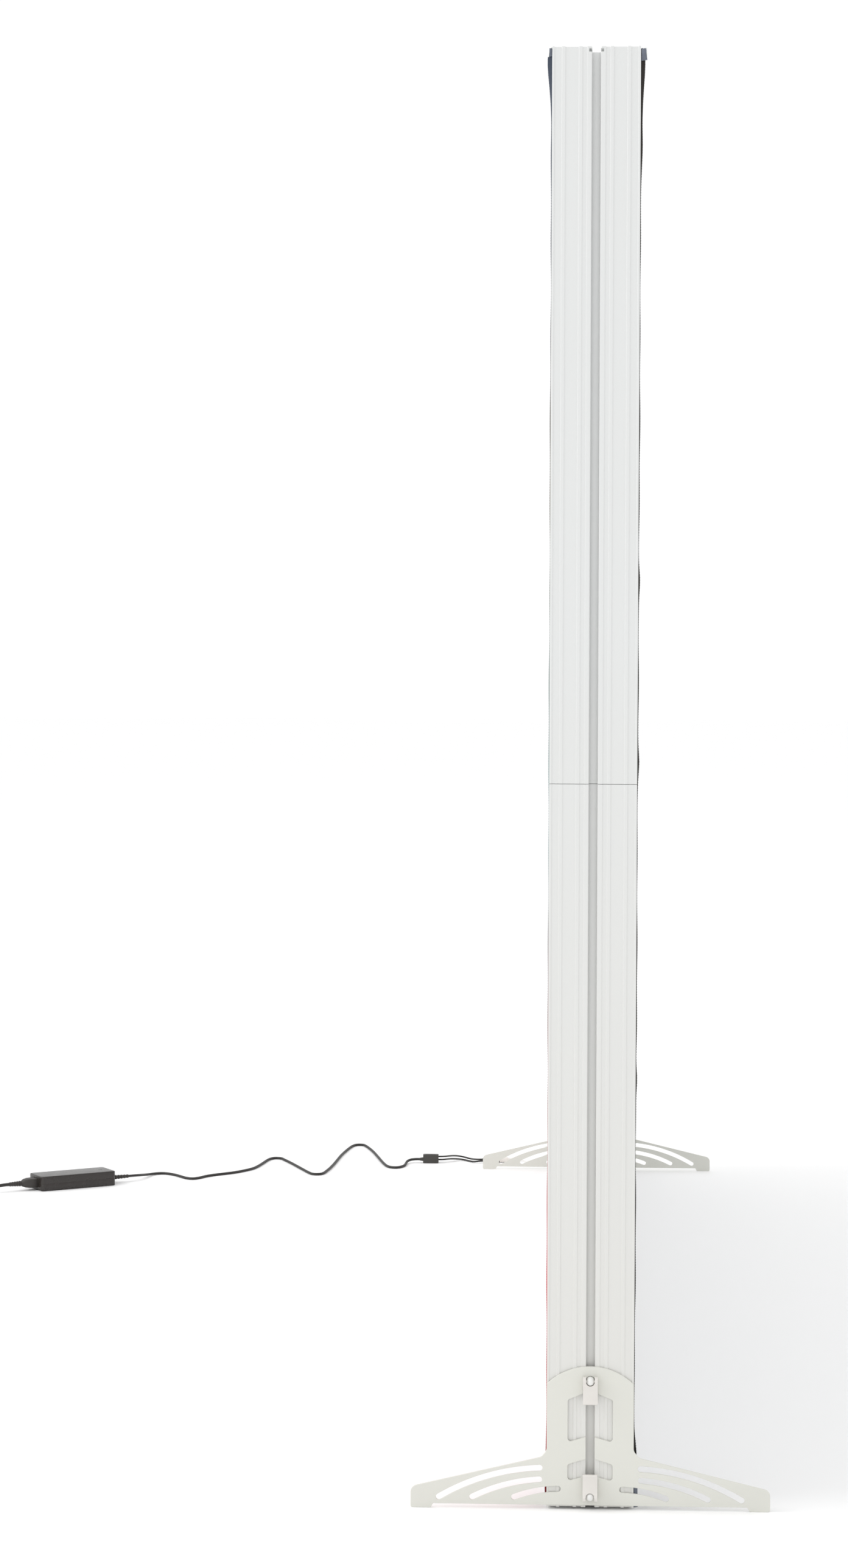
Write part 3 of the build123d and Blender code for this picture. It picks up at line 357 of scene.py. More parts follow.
@dataclass(frozen=True)
class PrintedCloth(Finish):
    """Printed stretch cloth: a generic wash of colours up its height, over a fine knit."""

    wash: tuple[tuple[float, Colour], ...] = ()
    height: float = 2.0
    thread: float = 0.0007
    pale: Colour = (0.66, 0.67, 0.68)
    pale_share: float = 0.78

    def dress(self, shader: Shader) -> None:
        """Adds the wash, bent by slow waves and paler away from the near edge, and the knit's ribs."""
        place = shader.place()
        split = shader.add("ShaderNodeSeparateXYZ")
        shader.join(place, split.inputs["Vector"])
        share = shader.add("ShaderNodeMath", {1: 1.0 / self.height}, operation="MULTIPLY")
        shader.join(split.outputs["Z"], share.inputs[0])
        clouds = shader.span(shader.noise(shader.place((0.5, 1.0, 1.1)), 1.6, 3.0), -0.10, 0.10)
        away = shader.add("ShaderNodeMapRange", {"From Min": -1.47, "From Max": -1.3})
        shader.join(split.outputs["X"], away.inputs["Value"])
        bend = shader.add("ShaderNodeMath", operation="MULTIPLY_ADD")
        shader.join(clouds, bend.inputs[0])
        shader.join(away.outputs["Result"], bend.inputs[1])
        shader.join(share.outputs[0], bend.inputs[2])
        paler = shader.add("ShaderNodeMath", {1: self.pale_share}, operation="MULTIPLY")
        shader.join(away.outputs["Result"], paler.inputs[0])
        mix = shader.add("ShaderNodeMixRGB", {"Color2": (*self.pale, 1.0)})
        shader.join(paler.outputs[0], mix.inputs["Fac"])
        shader.join(shader.ramp(bend.outputs[0], self.wash), mix.inputs["Color1"])
        shader.join(mix.outputs["Color"], shader.surface.inputs["Base Color"])
        shader.surface.inputs["Specular IOR Level"].default_value = 0.08
        for axis, direction in enumerate("XZ"):
            ribs = shader.add("ShaderNodeTexWave", {"Scale": 0.314 / self.thread, "Distortion": 0.3})
            ribs.bands_direction = direction
            shader.join(place, ribs.inputs["Vector"])
            shader.bump(ribs.outputs["Fac"], 0.00012 - 0.00004 * axis, 0.6)


@dataclass(frozen=True)
class Silicone(Finish):
    """A soft, milky strip."""

    def dress(self, shader: Shader) -> None:
        """Adds the light that goes into it, and a faint moulded texture."""
        shader.surface.inputs["Subsurface Weight"].default_value = 0.3
        shader.surface.inputs["Subsurface Radius"].default_value = (0.002, 0.002, 0.0015)
        gloss = shader.span(shader.noise(shader.place(), 260.0), 0.3, 0.5)
        shader.join(gloss, shader.surface.inputs["Roughness"])
        shader.bump(shader.noise(shader.place(), 1100.0, 2.0), 0.00003, 0.5)


@dataclass(frozen=True)
class CircuitBoard(Finish):
    """Solder mask over tracks, with rows of pads."""

    pads: Colour = (0.75, 0.7, 0.55)
    pitch: float = 0.012

    def dress(self, shader: Shader) -> None:
        """Adds the tracks under the mask and the pads."""
        place = shader.place((1.0, 1.0, 1.0), (math.pi / 2, 0.0, math.pi / 2))
        bricks = shader.add(
            "ShaderNodeTexBrick",
            {"Scale": 1.0 / self.pitch, "Mortar Size": 0.04, "Bias": -0.4, "Color1": (*self.colour, 1.0),
             "Color2": (*shade(self.colour, 1.08), 1.0), "Mortar": (*self.pads, 1.0)},
        )  # fmt: skip
        shader.join(place, bricks.inputs["Vector"])
        shader.join(bricks.outputs["Color"], shader.surface.inputs["Base Color"])
        shader.bump(bricks.outputs["Fac"], 0.00005, 0.5)
        gloss = shader.span(shader.noise(shader.place(), 80.0), self.roughness - 0.05, self.roughness + 0.1)
        shader.join(gloss, shader.surface.inputs["Roughness"])


@dataclass(frozen=True)
class ClearMoulding(Finish):
    """Clear moulded plastic with a faint flow pattern."""

    def dress(self, shader: Shader) -> None:
        """Lets light through, and adds the flow pattern."""
        shader.surface.inputs["Transmission Weight"].default_value = 0.9
        shader.surface.inputs["IOR"].default_value = 1.49
        shader.bump(shader.noise(shader.place(), 300.0, 2.0), 0.00003, 0.3)


# Painted shade darkens and warms the frame towards the floor, and a painted shadow line marks its mid-height
# joint.
FRAME_WHITE = PowderCoat(
    "frame_white_coat", (0.70, 0.71, 0.705), 0.42, foot_shade_tint=(0.96, 0.94, 0.905), joint=1.003
)
FOOT_WHITE = PowderCoat("foot_white_coat", (0.665, 0.665, 0.615), 0.5, grain=1200.0)
# A moulding's last factor sets its painted edge highlight.
LEVER_CREAM = MouldedPlastic("lever_cream_moulding", (0.68, 0.655, 0.62), 0.35, depth=0.00002, edge_highlight=1.04)
BOLT_WHITE = PowderCoat("bolt_white_coat", (0.76, 0.76, 0.74), 0.55, grain=1600.0)
PIN_STEEL = Metal("cross_pin_steel", (0.66, 0.65, 0.63), 0.3, grain=(900.0, 60.0, 900.0))
JOINER_ZINC = Metal("joiner_zinc", (0.62, 0.63, 0.64), 0.38)
BRACE_ANODISED = Metal("brace_anodised", (0.72, 0.73, 0.74), 0.35, grain=(1200.0, 1200.0, 8.0))
SOCKET_GREY = MouldedPlastic("socket_grey_moulding", (0.32, 0.32, 0.33), 0.5)
KEDER_MILKY = Silicone("keder_silicone", (0.86, 0.87, 0.87), 0.4)
BOARD_WHITE = CircuitBoard("light_board_mask", (0.86, 0.86, 0.85), 0.4)
BOARD_GREEN = CircuitBoard("adapter_board_mask", (0.03, 0.16, 0.07), 0.4, pitch=0.006)
LENS_CLEAR = ClearMoulding("lens_acrylic", (0.93, 0.95, 0.96), 0.08)
WIRE_WHITE = Sheath("wire_white_sheath", (0.80, 0.79, 0.77), 0.42)
# The last factor of each moulding below sets its painted edge highlight.
CONNECTOR_WHITE = MouldedPlastic("connector_white_moulding", (0.78, 0.74, 0.70), 0.42, edge_highlight=1.05)
CONNECTOR_BLACK = MouldedPlastic("connector_black_moulding", (0.034, 0.032, 0.028), 0.42, edge_highlight=1.8)
CORD_BLACK = Sheath("cord_black_sheath", (0.020, 0.018, 0.016), 0.55)
ADAPTER_BLACK = MouldedPlastic(
    "adapter_case_moulding", (0.018, 0.015, 0.013), 0.27, grain=1100.0, depth=0.00001, edge_highlight=2.2
)
MOULDING_BLACK = MouldedPlastic("soft_black_moulding", (0.026, 0.023, 0.020), 0.5, edge_highlight=1.7)
PIN_NICKEL = Metal("pin_nickel", (0.78, 0.74, 0.66), 0.25)
INDICATOR_GREEN = ClearMoulding("indicator_lens", (0.35, 0.6, 0.4), 0.2)
TAB_SLATE = Sheath("tab_slate_cloth", (0.13, 0.145, 0.18), 0.8)
THREAD_DARK = Sheath("hem_thread_dark", (0.10, 0.10, 0.11), 0.7)
THREAD_SLATE = Sheath("hem_thread_slate", (0.16, 0.17, 0.20), 0.7)
FLOOR_PAPER = PowderCoat("floor_paper", (0.97, 0.97, 0.97), 0.8, grain=200.0)
FRONT_CLOTH = PrintedCloth(
    "front_cloth",
    (0.1, 0.1, 0.1),
    0.95,
    wash=(
        (0.0, (0.014, 0.013, 0.012)), (0.12, (0.024, 0.022, 0.020)), (0.32, (0.055, 0.052, 0.049)),
        (0.55, (0.045, 0.043, 0.040)), (0.78, (0.050, 0.047, 0.044)), (1.0, (0.034, 0.031, 0.029)),
    ),
)  # fmt: skip
BACK_CLOTH = PrintedCloth(
    "back_cloth",
    (0.1, 0.1, 0.1),
    0.95,
    wash=(
        (0.0, (0.10, 0.012, 0.014)), (0.06, (0.40, 0.07, 0.08)), (0.16, (0.52, 0.15, 0.16)),
        (0.26, (0.46, 0.32, 0.32)), (0.48, (0.26, 0.33, 0.33)), (0.70, (0.25, 0.24, 0.22)),
        (0.90, (0.12, 0.13, 0.15)), (1.0, (0.055, 0.067, 0.092)),
    ),
)  # fmt: skip


# ================================================================ mesh tools


def new_piece(name: str, mesh: bpy.types.Mesh, finish: Finish | None = None) -> Piece:
    """An object at the origin for a mesh whose points are in place.

    Args:
        name: The piece's name.
        mesh: Its mesh.
        finish: Its finish, or None where the mesh has its materials.

    Returns:
        The object.
    """
    piece = bpy.data.objects.new(name, mesh)
    bpy.context.scene.collection.objects.link(piece)
    if finish is not None:
        mesh.materials.clear()
        mesh.materials.append(finish.material())
    return piece


def settle(piece: Piece, body: str, slot: str, *nodes: str) -> Piece:
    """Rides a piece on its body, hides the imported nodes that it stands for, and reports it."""
    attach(piece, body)
    if nodes:
        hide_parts(*nodes)
    LOG.info("%s rides on %s", piece.name, body)
    return piece


def smooth(mesh: bpy.types.Mesh, angle: float = 32.0) -> None:
    """Shades a mesh smooth, with edges sharper than an angle left crisp."""
    mesh.shade_smooth()
    mesh.set_sharp_from_angle(angle=math.radians(angle))


def lofted(name: str, rings: Sequence[Sequence[Vector]], finish: Finish) -> Piece:
    """A closed skin over rings of equal numbers of points.

    Args:
        name: The piece's name.
        rings: The rings, from one end to the other.
        finish: The piece's finish.

    Returns:
        The object.
    """
    mesh = bpy.data.meshes.new(name)
    shape = bmesh.new()
    rows = [[shape.verts.new(point) for point in ring] for ring in rings]
    count = len(rows[0])
    for low, high in zip(rows, rows[1:]):
        for i in range(count):
            shape.faces.new((low[i], low[(i + 1) % count], high[(i + 1) % count], high[i]))
    shape.faces.new(reversed(rows[0]))
    shape.faces.new(rows[-1])
    bmesh.ops.recalc_face_normals(shape, faces=shape.faces)
    shape.to_mesh(mesh)
    shape.free()
    smooth(mesh)
    return new_piece(name, mesh, finish)


@dataclass(frozen=True)
class Station:
    """One section of a moulding: its place along the axis, its width and height, and how square it is."""

    along: float
    wide: float
    high: float
    square: float

    def ring(self, place: Matrix, count: int = 32) -> list[Vector]:
        """The section's points.

        Args:
            place: Where the moulding lies; its axis is local +X.
            count: Number of points.

        Returns:
            The points, once round.
        """
        power = 2.0 / (2.0 + 6.0 * self.square) if self.square else 1.0
        points = []
        for i in range(count):
            turn = 2.0 * math.pi * (i + 0.5) / count
            across, up = math.cos(turn), math.sin(turn)
            y = math.copysign(abs(across) ** power, across) * self.wide / 2
            z = math.copysign(abs(up) ** power, up) * self.high / 2
            points.append(place @ Vector((self.along, y, z)))
        return points


def moulding(
    name: str, place: Matrix, rows: Sequence[tuple[float, float, float, float]], finish: Finish
) -> Piece:
    """A moulding through a row of stations.

    Args:
        name: The piece's name.
        place: Where it lies; its axis is local +X.
        rows: Each station's place, width and height in millimetres, and how square it is, from 0 to 1.
        finish: The piece's finish.

    Returns:
        The object.
    """
    stations = [Station(along * MM, wide * MM, high * MM, square) for along, wide, high, square in rows]
    return lofted(name, [station.ring(place) for station in stations], finish)


def axis_frame(start: Sequence[float], end: Sequence[float]) -> Matrix:
    """A place whose +X runs from a start towards an end, with +Z as near to up as it can be."""
    origin = Vector(start)
    forward = (Vector(end) - origin).normalized()
    side = Vector((0, 0, 1)).cross(forward).normalized()
    turn = Matrix((forward, side, forward.cross(side))).transposed()
    return Matrix.Translation(origin) @ turn.to_4x4()


def round_edges(shape: bmesh.types.BMesh, width: float, angle: float) -> None:
    """Rounds a shape's edges that are sharper than an angle, in degrees."""
    limit = math.radians(angle)
    sharp = [edge for edge in shape.edges if len(edge.link_faces) == 2 and edge.calc_face_angle(0.0) > limit]
    bmesh.ops.bevel(
        shape, geom=sharp, offset=width, segments=2, profile=0.7, affect="EDGES", clamp_overlap=True
    )  # fmt: skip


def softened_copy(node: str, name: str, width: float, finish: Finish) -> Piece:
    """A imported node's shape with its edges rounded.

    Args:
        node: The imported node.
        name: The new piece's name.
        width: How far each edge is cut back, in metres.
        finish: The piece's finish.

    Returns:
        The object.
    """
    shape = bmesh.new()
    shape.from_mesh(frame["nodes"][node].data)
    bmesh.ops.remove_doubles(shape, verts=shape.verts, dist=1e-6)
    bmesh.ops.dissolve_limit(
        shape, angle_limit=math.radians(0.6), verts=shape.verts, edges=shape.edges
    )  # fmt: skip
    round_edges(shape, width, angle=28.0)
    bmesh.ops.triangulate(shape, faces=[f for f in shape.faces if len(f.verts) > 4])
    mesh = bpy.data.meshes.new(name)
    shape.to_mesh(mesh)
    shape.free()
    smooth(mesh, 40.0)
    return new_piece(name, mesh, finish)


def grid_skin(
    name: str,
    points: Sequence[Point],
    columns: int,
    wall: tuple[float, float],
    finish: Finish,
    flip: bool = False,
) -> Piece:
    """A thin skin over a grid of points.

    Args:
        name: The piece's name.
        points: The points, row after row.
        columns: Number of points in a row.
        wall: The skin's thickness, and how far to one side of the points it lies, from -1 to 1.
        finish: The piece's finish.
        flip: Whether its face looks the other way.

    Returns:
        The object, its thickness applied.
    """
    rows = len(points) // columns
    faces = [
        (i * columns + j, (i + 1) * columns + j, (i + 1) * columns + j + 1, i * columns + j + 1)
        for i in range(rows - 1)
        for j in range(columns - 1)
    ]
    mesh = bpy.data.meshes.new(name)
    mesh.from_pydata(points, [], faces)
    if flip:
        mesh.flip_normals()
    return walled(new_piece(name, mesh, finish), *wall)


def walled(piece: Piece, thickness: float, offset: float) -> Piece:
    """A piece with its open surface given a thickness."""
    wall = piece.modifiers.new("wall", "SOLIDIFY")
    wall.thickness = thickness
    wall.offset = offset
    return applied(piece)


def plain_mesh(piece: Piece) -> bpy.types.Mesh:
    """An object's shape, with its curve or its modifiers worked out, as plain mesh."""
    bpy.context.view_layer.update()
    depsgraph = bpy.context.evaluated_depsgraph_get()
    return bpy.data.meshes.new_from_object(piece.evaluated_get(depsgraph), depsgraph=depsgraph)


def applied(piece: Piece) -> Piece:
    """A piece with its modifiers turned into plain mesh."""
    mesh = plain_mesh(piece)
    mesh.name = piece.name
    piece.modifiers.clear()
    piece.data = mesh
    smooth(mesh, 50.0)
    return piece


def bead(name: str, route: Route, diameter: float, finish: Finish) -> Piece:
    """A round bead along a smooth line, as a plain mesh."""
    curve = smooth_line(name, route, diameter, finish)
    mesh = plain_mesh(curve)
    bpy.data.objects.remove(curve)
    smooth(mesh, 60.0)
    return new_piece(name, mesh, finish)


def smooth_line(name: str, route: Route, diameter: float, finish: Finish) -> Piece:
    """A round cable along one open smooth line through a route's control points.

    Args:
        name: The piece's name.
        route: The control points, in metres.
        diameter: The cable's diameter.
        finish: Its finish.

    Returns:
        The curve object.
    """
    curve = bpy.data.curves.new(name, "CURVE")
    curve.dimensions = "3D"
    spline = curve.splines.new("NURBS")
    spline.points.add(len(route) - 1)
    for point, place in zip(spline.points, route):
        point.co = (*place, 1.0)
    spline.order_u = 3
    spline.use_endpoint_u = True
    spline.resolution_u = 8
    curve.bevel_depth = diameter / 2
    curve.bevel_resolution = 5
    curve.use_fill_caps = True
    curve.materials.append(finish.material())
    cable = bpy.data.objects.new(name, curve)
    bpy.context.scene.collection.objects.link(cable)
    return cable


# ================================================================ rows made by geometry nodes


class NodeRow:
    """A geometry-node tree, with short calls that add inputs and nodes."""

    def __init__(self, name: str, takes_mesh: bool) -> None:
        """Starts the tree.

        Args:
            name: The tree's name.
            takes_mesh: Whether it works on the object's own mesh.
        """
        self.tree = bpy.data.node_groups.new(name, "GeometryNodeTree")
        self.face = self.tree.interface
        if takes_mesh:
            self.face.new_socket("Geometry", in_out="INPUT", socket_type="NodeSocketGeometry")
        self.face.new_socket("Geometry", in_out="OUTPUT", socket_type="NodeSocketGeometry")
        self.values: list[tuple[str, object]] = []
        self.start = self.tree.nodes.new("NodeGroupInput")

    def size(self, name: str, kind: str, value: object) -> None:
        """Adds a named input and keeps the value that its modifier will have."""
        socket = self.face.new_socket(name, in_out="INPUT", socket_type=f"NodeSocket{kind}")
        self.values.append((socket.identifier, value))

    def add(self, kind: str, **joins: object) -> bpy.types.Node:
        """Adds a node; each keyword is an input, given a value or another node's output."""
        node = self.tree.nodes.new(kind)
        for key, value in joins.items():
            self.feed(node, key.replace("_", " "), value)
        return node

    def feed(self, node: bpy.types.Node, key: str | int, value: object) -> None:
        """Sets an input to a value, or joins it to an output."""
        if isinstance(value, Socket):
            self.tree.links.new(value, node.inputs[key])
        else:
            node.inputs[key].default_value = value

    def sum_of(self, operation: str, *terms: object) -> Socket:
        """A number worked out from others."""
        node = self.tree.nodes.new("ShaderNodeMath")
        node.operation = operation
        for i, term in enumerate(terms):
            self.feed(node, i, term)
        return node.outputs[0]

    def make(
        self, piece: Piece, instances: Socket, finish: Finish
    ) -> Piece:
        """Ends the tree, sets it on a piece and turns the result into plain mesh.

        Args:
            piece: The object that carries the tree.
            instances: The row, not yet real.
            finish: The row's finish.

        Returns:
            The piece, with a plain mesh.
        """
        real = self.add("GeometryNodeRealizeInstances", Geometry=instances)
        dressed = self.add("GeometryNodeSetMaterial", Geometry=real.outputs[0])
        dressed.inputs["Material"].default_value = finish.material()
        end = self.tree.nodes.new("NodeGroupOutput")
        self.tree.links.new(dressed.outputs[0], end.inputs[0])
        modifier = piece.modifiers.new("row", "NODES")
        modifier.node_group = self.tree
        for identifier, value in self.values:
            modifier[identifier] = value
        return applied(piece)


@dataclass(frozen=True)
class RibRow:
    """A row of round fins along a moulding's axis, from one radius to another."""

    count: int
    start: float
    pitch: float
    thickness: float
    first_radius: float
    last_radius: float
    height_share: float = 1.0

    def make(self, name: str, place: Matrix, finish: Finish) -> Piece:
        """Makes the row in place.

        Args:
            name: The piece's name.
            place: The moulding's place; its axis is local +X.
            finish: The fins' finish.

        Returns:
            The row as one piece.
        """
        row = NodeRow(name + "_tree", takes_mesh=False)
        row.size("Count", "Int", self.count)
        row.size("Pitch", "Float", self.pitch)
        row.size("Thickness", "Float", self.thickness)
        row.size("First Radius", "Float", self.first_radius)
        row.size("Last Radius", "Float", self.last_radius)
        sizes = row.start.outputs
        step = row.add("ShaderNodeCombineXYZ", X=sizes["Pitch"])
        line = row.add("GeometryNodeMeshLine", Count=sizes["Count"], Offset=step.outputs[0])
        line.inputs["Start Location"].default_value = (self.start, 0.0, 0.0)
        fin = row.add("GeometryNodeMeshCylinder", Vertices=28, Radius=1.0, Depth=sizes["Thickness"])
        index = row.add("GeometryNodeInputIndex")
        last = row.sum_of("SUBTRACT", sizes["Count"], 1.0)
        share = row.sum_of("DIVIDE", index.outputs[0], last)
        spread = row.sum_of("SUBTRACT", sizes["Last Radius"], sizes["First Radius"])
        radius = row.sum_of("MULTIPLY_ADD", share, spread, sizes["First Radius"])
        low = row.sum_of("MULTIPLY", radius, self.height_share)
        scale = row.add("ShaderNodeCombineXYZ", X=low, Y=radius, Z=1.0)
        fins = row.add("GeometryNodeInstanceOnPoints", Points=line.outputs[0], Instance=fin.outputs[0])
        fins.inputs["Rotation"].default_value = (0.0, math.pi / 2, 0.0)
        row.feed(fins, "Scale", scale.outputs[0])
        piece = row.make(new_piece(name, bpy.data.meshes.new(name)), fins.outputs[0], finish)
        rounded(piece.data, self.thickness * 0.22)
        piece.data.transform(place)
        return piece


@dataclass(frozen=True)
class StitchRow:
    """A row of stitches along a line."""

    pitch: float = 0.0036
    length: float = 0.0026
    thickness: float = 0.0004

    def make(self, name: str, line: Sequence[Point], finish: Finish) -> Piece:
        """Makes the row along a closed line of points.

        Args:
            name: The piece's name.
            line: The line's points.
            finish: The thread's finish.

        Returns:
            The row as one piece.
        """
        mesh = bpy.data.meshes.new(name)
        mesh.from_pydata(line, [(i, (i + 1) % len(line)) for i in range(len(line))], [])
        row = NodeRow(name + "_tree", takes_mesh=True)
        row.size("Pitch", "Float", self.pitch)
        row.size("Stitch Length", "Float", self.length)
        row.size("Thread", "Float", self.thickness)
        sizes = row.start.outputs
        path = row.add("GeometryNodeMeshToCurve", Mesh=sizes["Geometry"])
        spaced = row.add("GeometryNodeResampleCurve", Curve=path.outputs[0])
        set_mode(spaced, "Length")
        row.feed(spaced, "Length", sizes["Pitch"])
        tangent = row.add("GeometryNodeInputTangent")
        turn = row.add("FunctionNodeAlignRotationToVector", Vector=tangent.outputs[0])
        turn.axis = "Z"
        stitch = row.add("GeometryNodeMeshIcoSphere", Radius=0.5, Subdivisions=1)
        thread = sizes["Thread"]
        scale = row.add("ShaderNodeCombineXYZ", X=thread, Y=thread, Z=sizes["Stitch Length"])
        laid = row.add("GeometryNodeInstanceOnPoints", Points=spaced.outputs[0], Instance=stitch.outputs[0])
        row.feed(laid, "Rotation", turn.outputs[0])
        row.feed(laid, "Scale", scale.outputs[0])
        return row.make(new_piece(name, mesh), laid.outputs[0], finish)


def set_mode(node: bpy.types.Node, mode: str) -> None:
    """Sets a node's mode, which is a menu input in newer versions and a property in older ones."""
    if "Mode" in node.inputs:
        node.inputs["Mode"].default_value = mode
    else:
        node.mode = mode.upper()


def rounded(mesh: bpy.types.Mesh, width: float) -> None:
    """Rounds a plain mesh's sharp edges."""
    shape = bmesh.new()
    shape.from_mesh(mesh)
    round_edges(shape, width, angle=40.0)
    shape.to_mesh(mesh)
    shape.free()
    smooth(mesh, 45.0)


# ================================================================ frame


@dataclass
class SlottedFrame:
    """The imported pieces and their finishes, by the slots that the record gives them."""

    finishes: dict[str, Finish] = field(default_factory=lambda: {
        "frame_white": FRAME_WHITE, "joiner_steel": JOINER_ZINC, "brace_aluminium": BRACE_ANODISED,
        "socket_grey": SOCKET_GREY, "keder_strip": KEDER_MILKY, "light_board": BOARD_WHITE,
        "lens_clear": LENS_CLEAR, "wire_white": WIRE_WHITE, "foot_white": FOOT_WHITE,
        "bolt_white": BOLT_WHITE, "pin_steel": PIN_STEEL, "circuit_green": BOARD_GREEN,
        "moulding_black": MOULDING_BLACK, "pin_metal": PIN_NICKEL, "adapter_black": ADAPTER_BLACK,
        "lever_white": LEVER_CREAM, "connector_black": CONNECTOR_BLACK, "cord_black": CORD_BLACK,
        "connector_white": CONNECTOR_WHITE, "front_print": FRONT_CLOTH, "back_print": BACK_CLOTH,
    })  # fmt: skip

    def dress(self) -> None:
        """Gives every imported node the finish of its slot."""
        for part in frame["record"]["subparts"]:
            node = frame["nodes"][part["node"]]
            node.data.materials.clear()
            node.data.materials.append(self.finishes[part["material_slot"]].material())
            LOG.info("%s is finished in %s", part["node"], node.data.materials[0].name)


# ================================================================ fabric


class Face(Enum):
    """A long face of the frame, with the way that it looks along Y."""

    FRONT = -1
    BACK = 1


@dataclass(frozen=True)
class Ripple:
    """A place where a skin's upright edge stands off the post."""

    height: float
    spread: float
    amount: float


@dataclass(frozen=True)
class Tab:
    """A loose corner of a skin's hem: four corners across and up, with how far it curls along X."""

    name: str
    corners: tuple[tuple[float, float], tuple[float, float], tuple[float, float], tuple[float, float]]
    curl: float
    bead: bool


@dataclass
class FabricSkin:
    """One printed skin, its hem stitches and its loose corners."""

    face: Face
    cloth: PrintedCloth
    thread: Finish
    ripples: tuple[Ripple, ...]
    tabs: tuple[Tab, ...]
    proud: float = 1.0 * MM
    roll: float = 2.6 * MM
    reach: float = 70 * MM
    thickness: float = 0.5 * MM
    hem: float = 9.0 * MM
    stitch: float = 0.012
    slack_reach: float = 0.05
    slack_rise: float = 0.35 * MM
    step_across: float = 0.09
    step_up: float = 0.009

    def __post_init__(self) -> None:
        """Takes the skin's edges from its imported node."""
        self.name = f"{self.face.name.lower()}_fabric"
        self.low, self.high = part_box(self.name)
        faces = (self.low.y, self.high.y)
        self.seat = min(faces, key=abs)

    def lift(self, x: float, z: float) -> float:
        """How far the skin stands off the frame's side at a place."""
        near, far = x - self.low.x, self.high.x - x
        edge = max(min(near, far, z - self.low.z, self.high.z - z), 0.0)
        rise = self.proud * math.sin(math.pi / 2 * min(edge / self.roll, 1.0))
        for side, share in ((near, 1.0), (far, 0.6)):
            ease = min(max(side, 0.0) / self.roll, 1.0) * math.exp(-((side / self.reach) ** 2)) * share
            rise += ease * sum(r.amount * math.exp(-(((z - r.height) / r.spread) ** 2)) for r in self.ripples)
        slack = math.exp(-edge / self.slack_reach) * min(edge / self.roll, 1.0)
        waves = math.sin(x * 41.0 + z * 17.0) + math.sin(z * 53.0 - x * 11.0)
        return rise + self.slack_rise * slack * waves

    def point(self, x: float, z: float, over: float = 0.0) -> Point:
        """A point on the skin, or a little over it."""
        return (x, self.seat + self.face.value * (self.lift(x, z) + over), z)

    def stops(self, low: float, high: float, step: float) -> list[float]:
        """Places along a side: close together at both ends, and evenly spaced between."""
        edge = [0.0, 0.6, 1.3, 2.0, 2.8, 4.0, 6.0, 9.0, 14.0, 22.0, 34.0, 50.0, 72.0, 100.0]
        near = [low + value * MM for value in edge]
        far = [high - value * MM for value in reversed(edge)]
        count = round((far[0] - near[-1]) / step)
        return near + [near[-1] + (far[0] - near[-1]) * i / count for i in range(1, count)] + far

    def sheet(self) -> Piece:
        """The skin itself."""
        across = self.stops(self.low.x, self.high.x, self.step_across)
        up = self.stops(self.low.z, self.high.z, self.step_up)
        points = [self.point(x, z) for x in across for z in up]
        wall = (self.thickness, -1.0)
        return grid_skin(f"{self.name}_skin", points, len(up), wall, self.cloth, self.face is Face.BACK)

    def hem_line(self) -> list[Point]:
        """The closed line that the hem is sewn along."""
        low, high, inset = self.low, self.high, self.hem
        corners = [
            (low.x + inset, low.z + inset), (high.x - inset, low.z + inset),
            (high.x - inset, high.z - inset), (low.x + inset, high.z - inset),
        ]  # fmt: skip
        line = []
        for (x0, z0), (x1, z1) in zip(corners, corners[1:] + corners[:1]):
            count = round(math.hypot(x1 - x0, z1 - z0) / self.stitch)
            line += [(x0 + (x1 - x0) * i / count, z0 + (z1 - z0) * i / count) for i in range(count)]
        return [self.point(x, z, 0.1 * MM) for x, z in line]

    def tab(self, tab: Tab) -> list[Piece]:
        """One loose corner: a curled flap, with the strip's bead along its rim where it shows."""
        (y0, z0), (y1, z1), (y2, z2), (y3, z3) = tab.corners
        side = self.face.value

        def where(across: float, up: float) -> Vector:
            """A point of the flap."""
            y = (1 - up) * ((1 - across) * y0 + across * y1) + up * ((1 - across) * y3 + across * y2)
            z = (1 - up) * ((1 - across) * z0 + across * z1) + up * ((1 - across) * z3 + across * z2)
            curl = tab.curl * math.sin(math.pi * (0.15 + 0.7 * across)) * (0.5 + 0.5 * up)
            ripple = 0.5 * math.sin(5.0 * up + 2.0 * across)
            return Vector((self.low.x + (curl + ripple - 0.8) * MM, side * y * MM, z * MM))

        rows, columns = 12, 14
        points = [where(i / rows, j / columns) for i in range(rows + 1) for j in range(columns + 1)]
        flap = grid_skin(f"{self.name}_{tab.name}", points, columns + 1, (0.7 * MM, 0.0), TAB_SLATE, True)
        pieces = [flap]
        if tab.bead:
            rim = [where(1.0, v / 6) for v in range(7)] + [where(1.0 - v / 4, 1.0) for v in range(1, 4)]
            pieces.append(bead(f"{flap.name}_bead", rim, 2.2 * MM, KEDER_MILKY))
        return pieces

    def build(self) -> None:
        """Makes the skin and what is on it."""
        slot = f"{self.face.name.lower()}_print"
        skin = settle(self.sheet(), "frame", slot, self.name)
        stitches = StitchRow().make(f"{self.name}_stitches", self.hem_line(), self.thread)
        loose = [settle(stitches, "frame", slot)]
        for tab in self.tabs:
            for piece in self.tab(tab):
                settle(piece, "frame", "keder_strip" if piece.name.endswith("bead") else slot)
                loose.append(piece)


# ================================================================ clamps


@dataclass
class CamClamp:
    """One cam clamp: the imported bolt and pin, and a softened lever."""

    side: str
    level: str
    edge: float = 0.35 * MM

    def build(self) -> None:
        """Makes the lever."""
        node = f"{self.side}_{self.level}_cam_lever"
        lever = softened_copy(node, f"{node}_moulding", self.edge, LEVER_CREAM)
        settle(lever, f"{self.side}_{self.level}_lever", "lever_white", node)


# ================================================================ leads and splitter


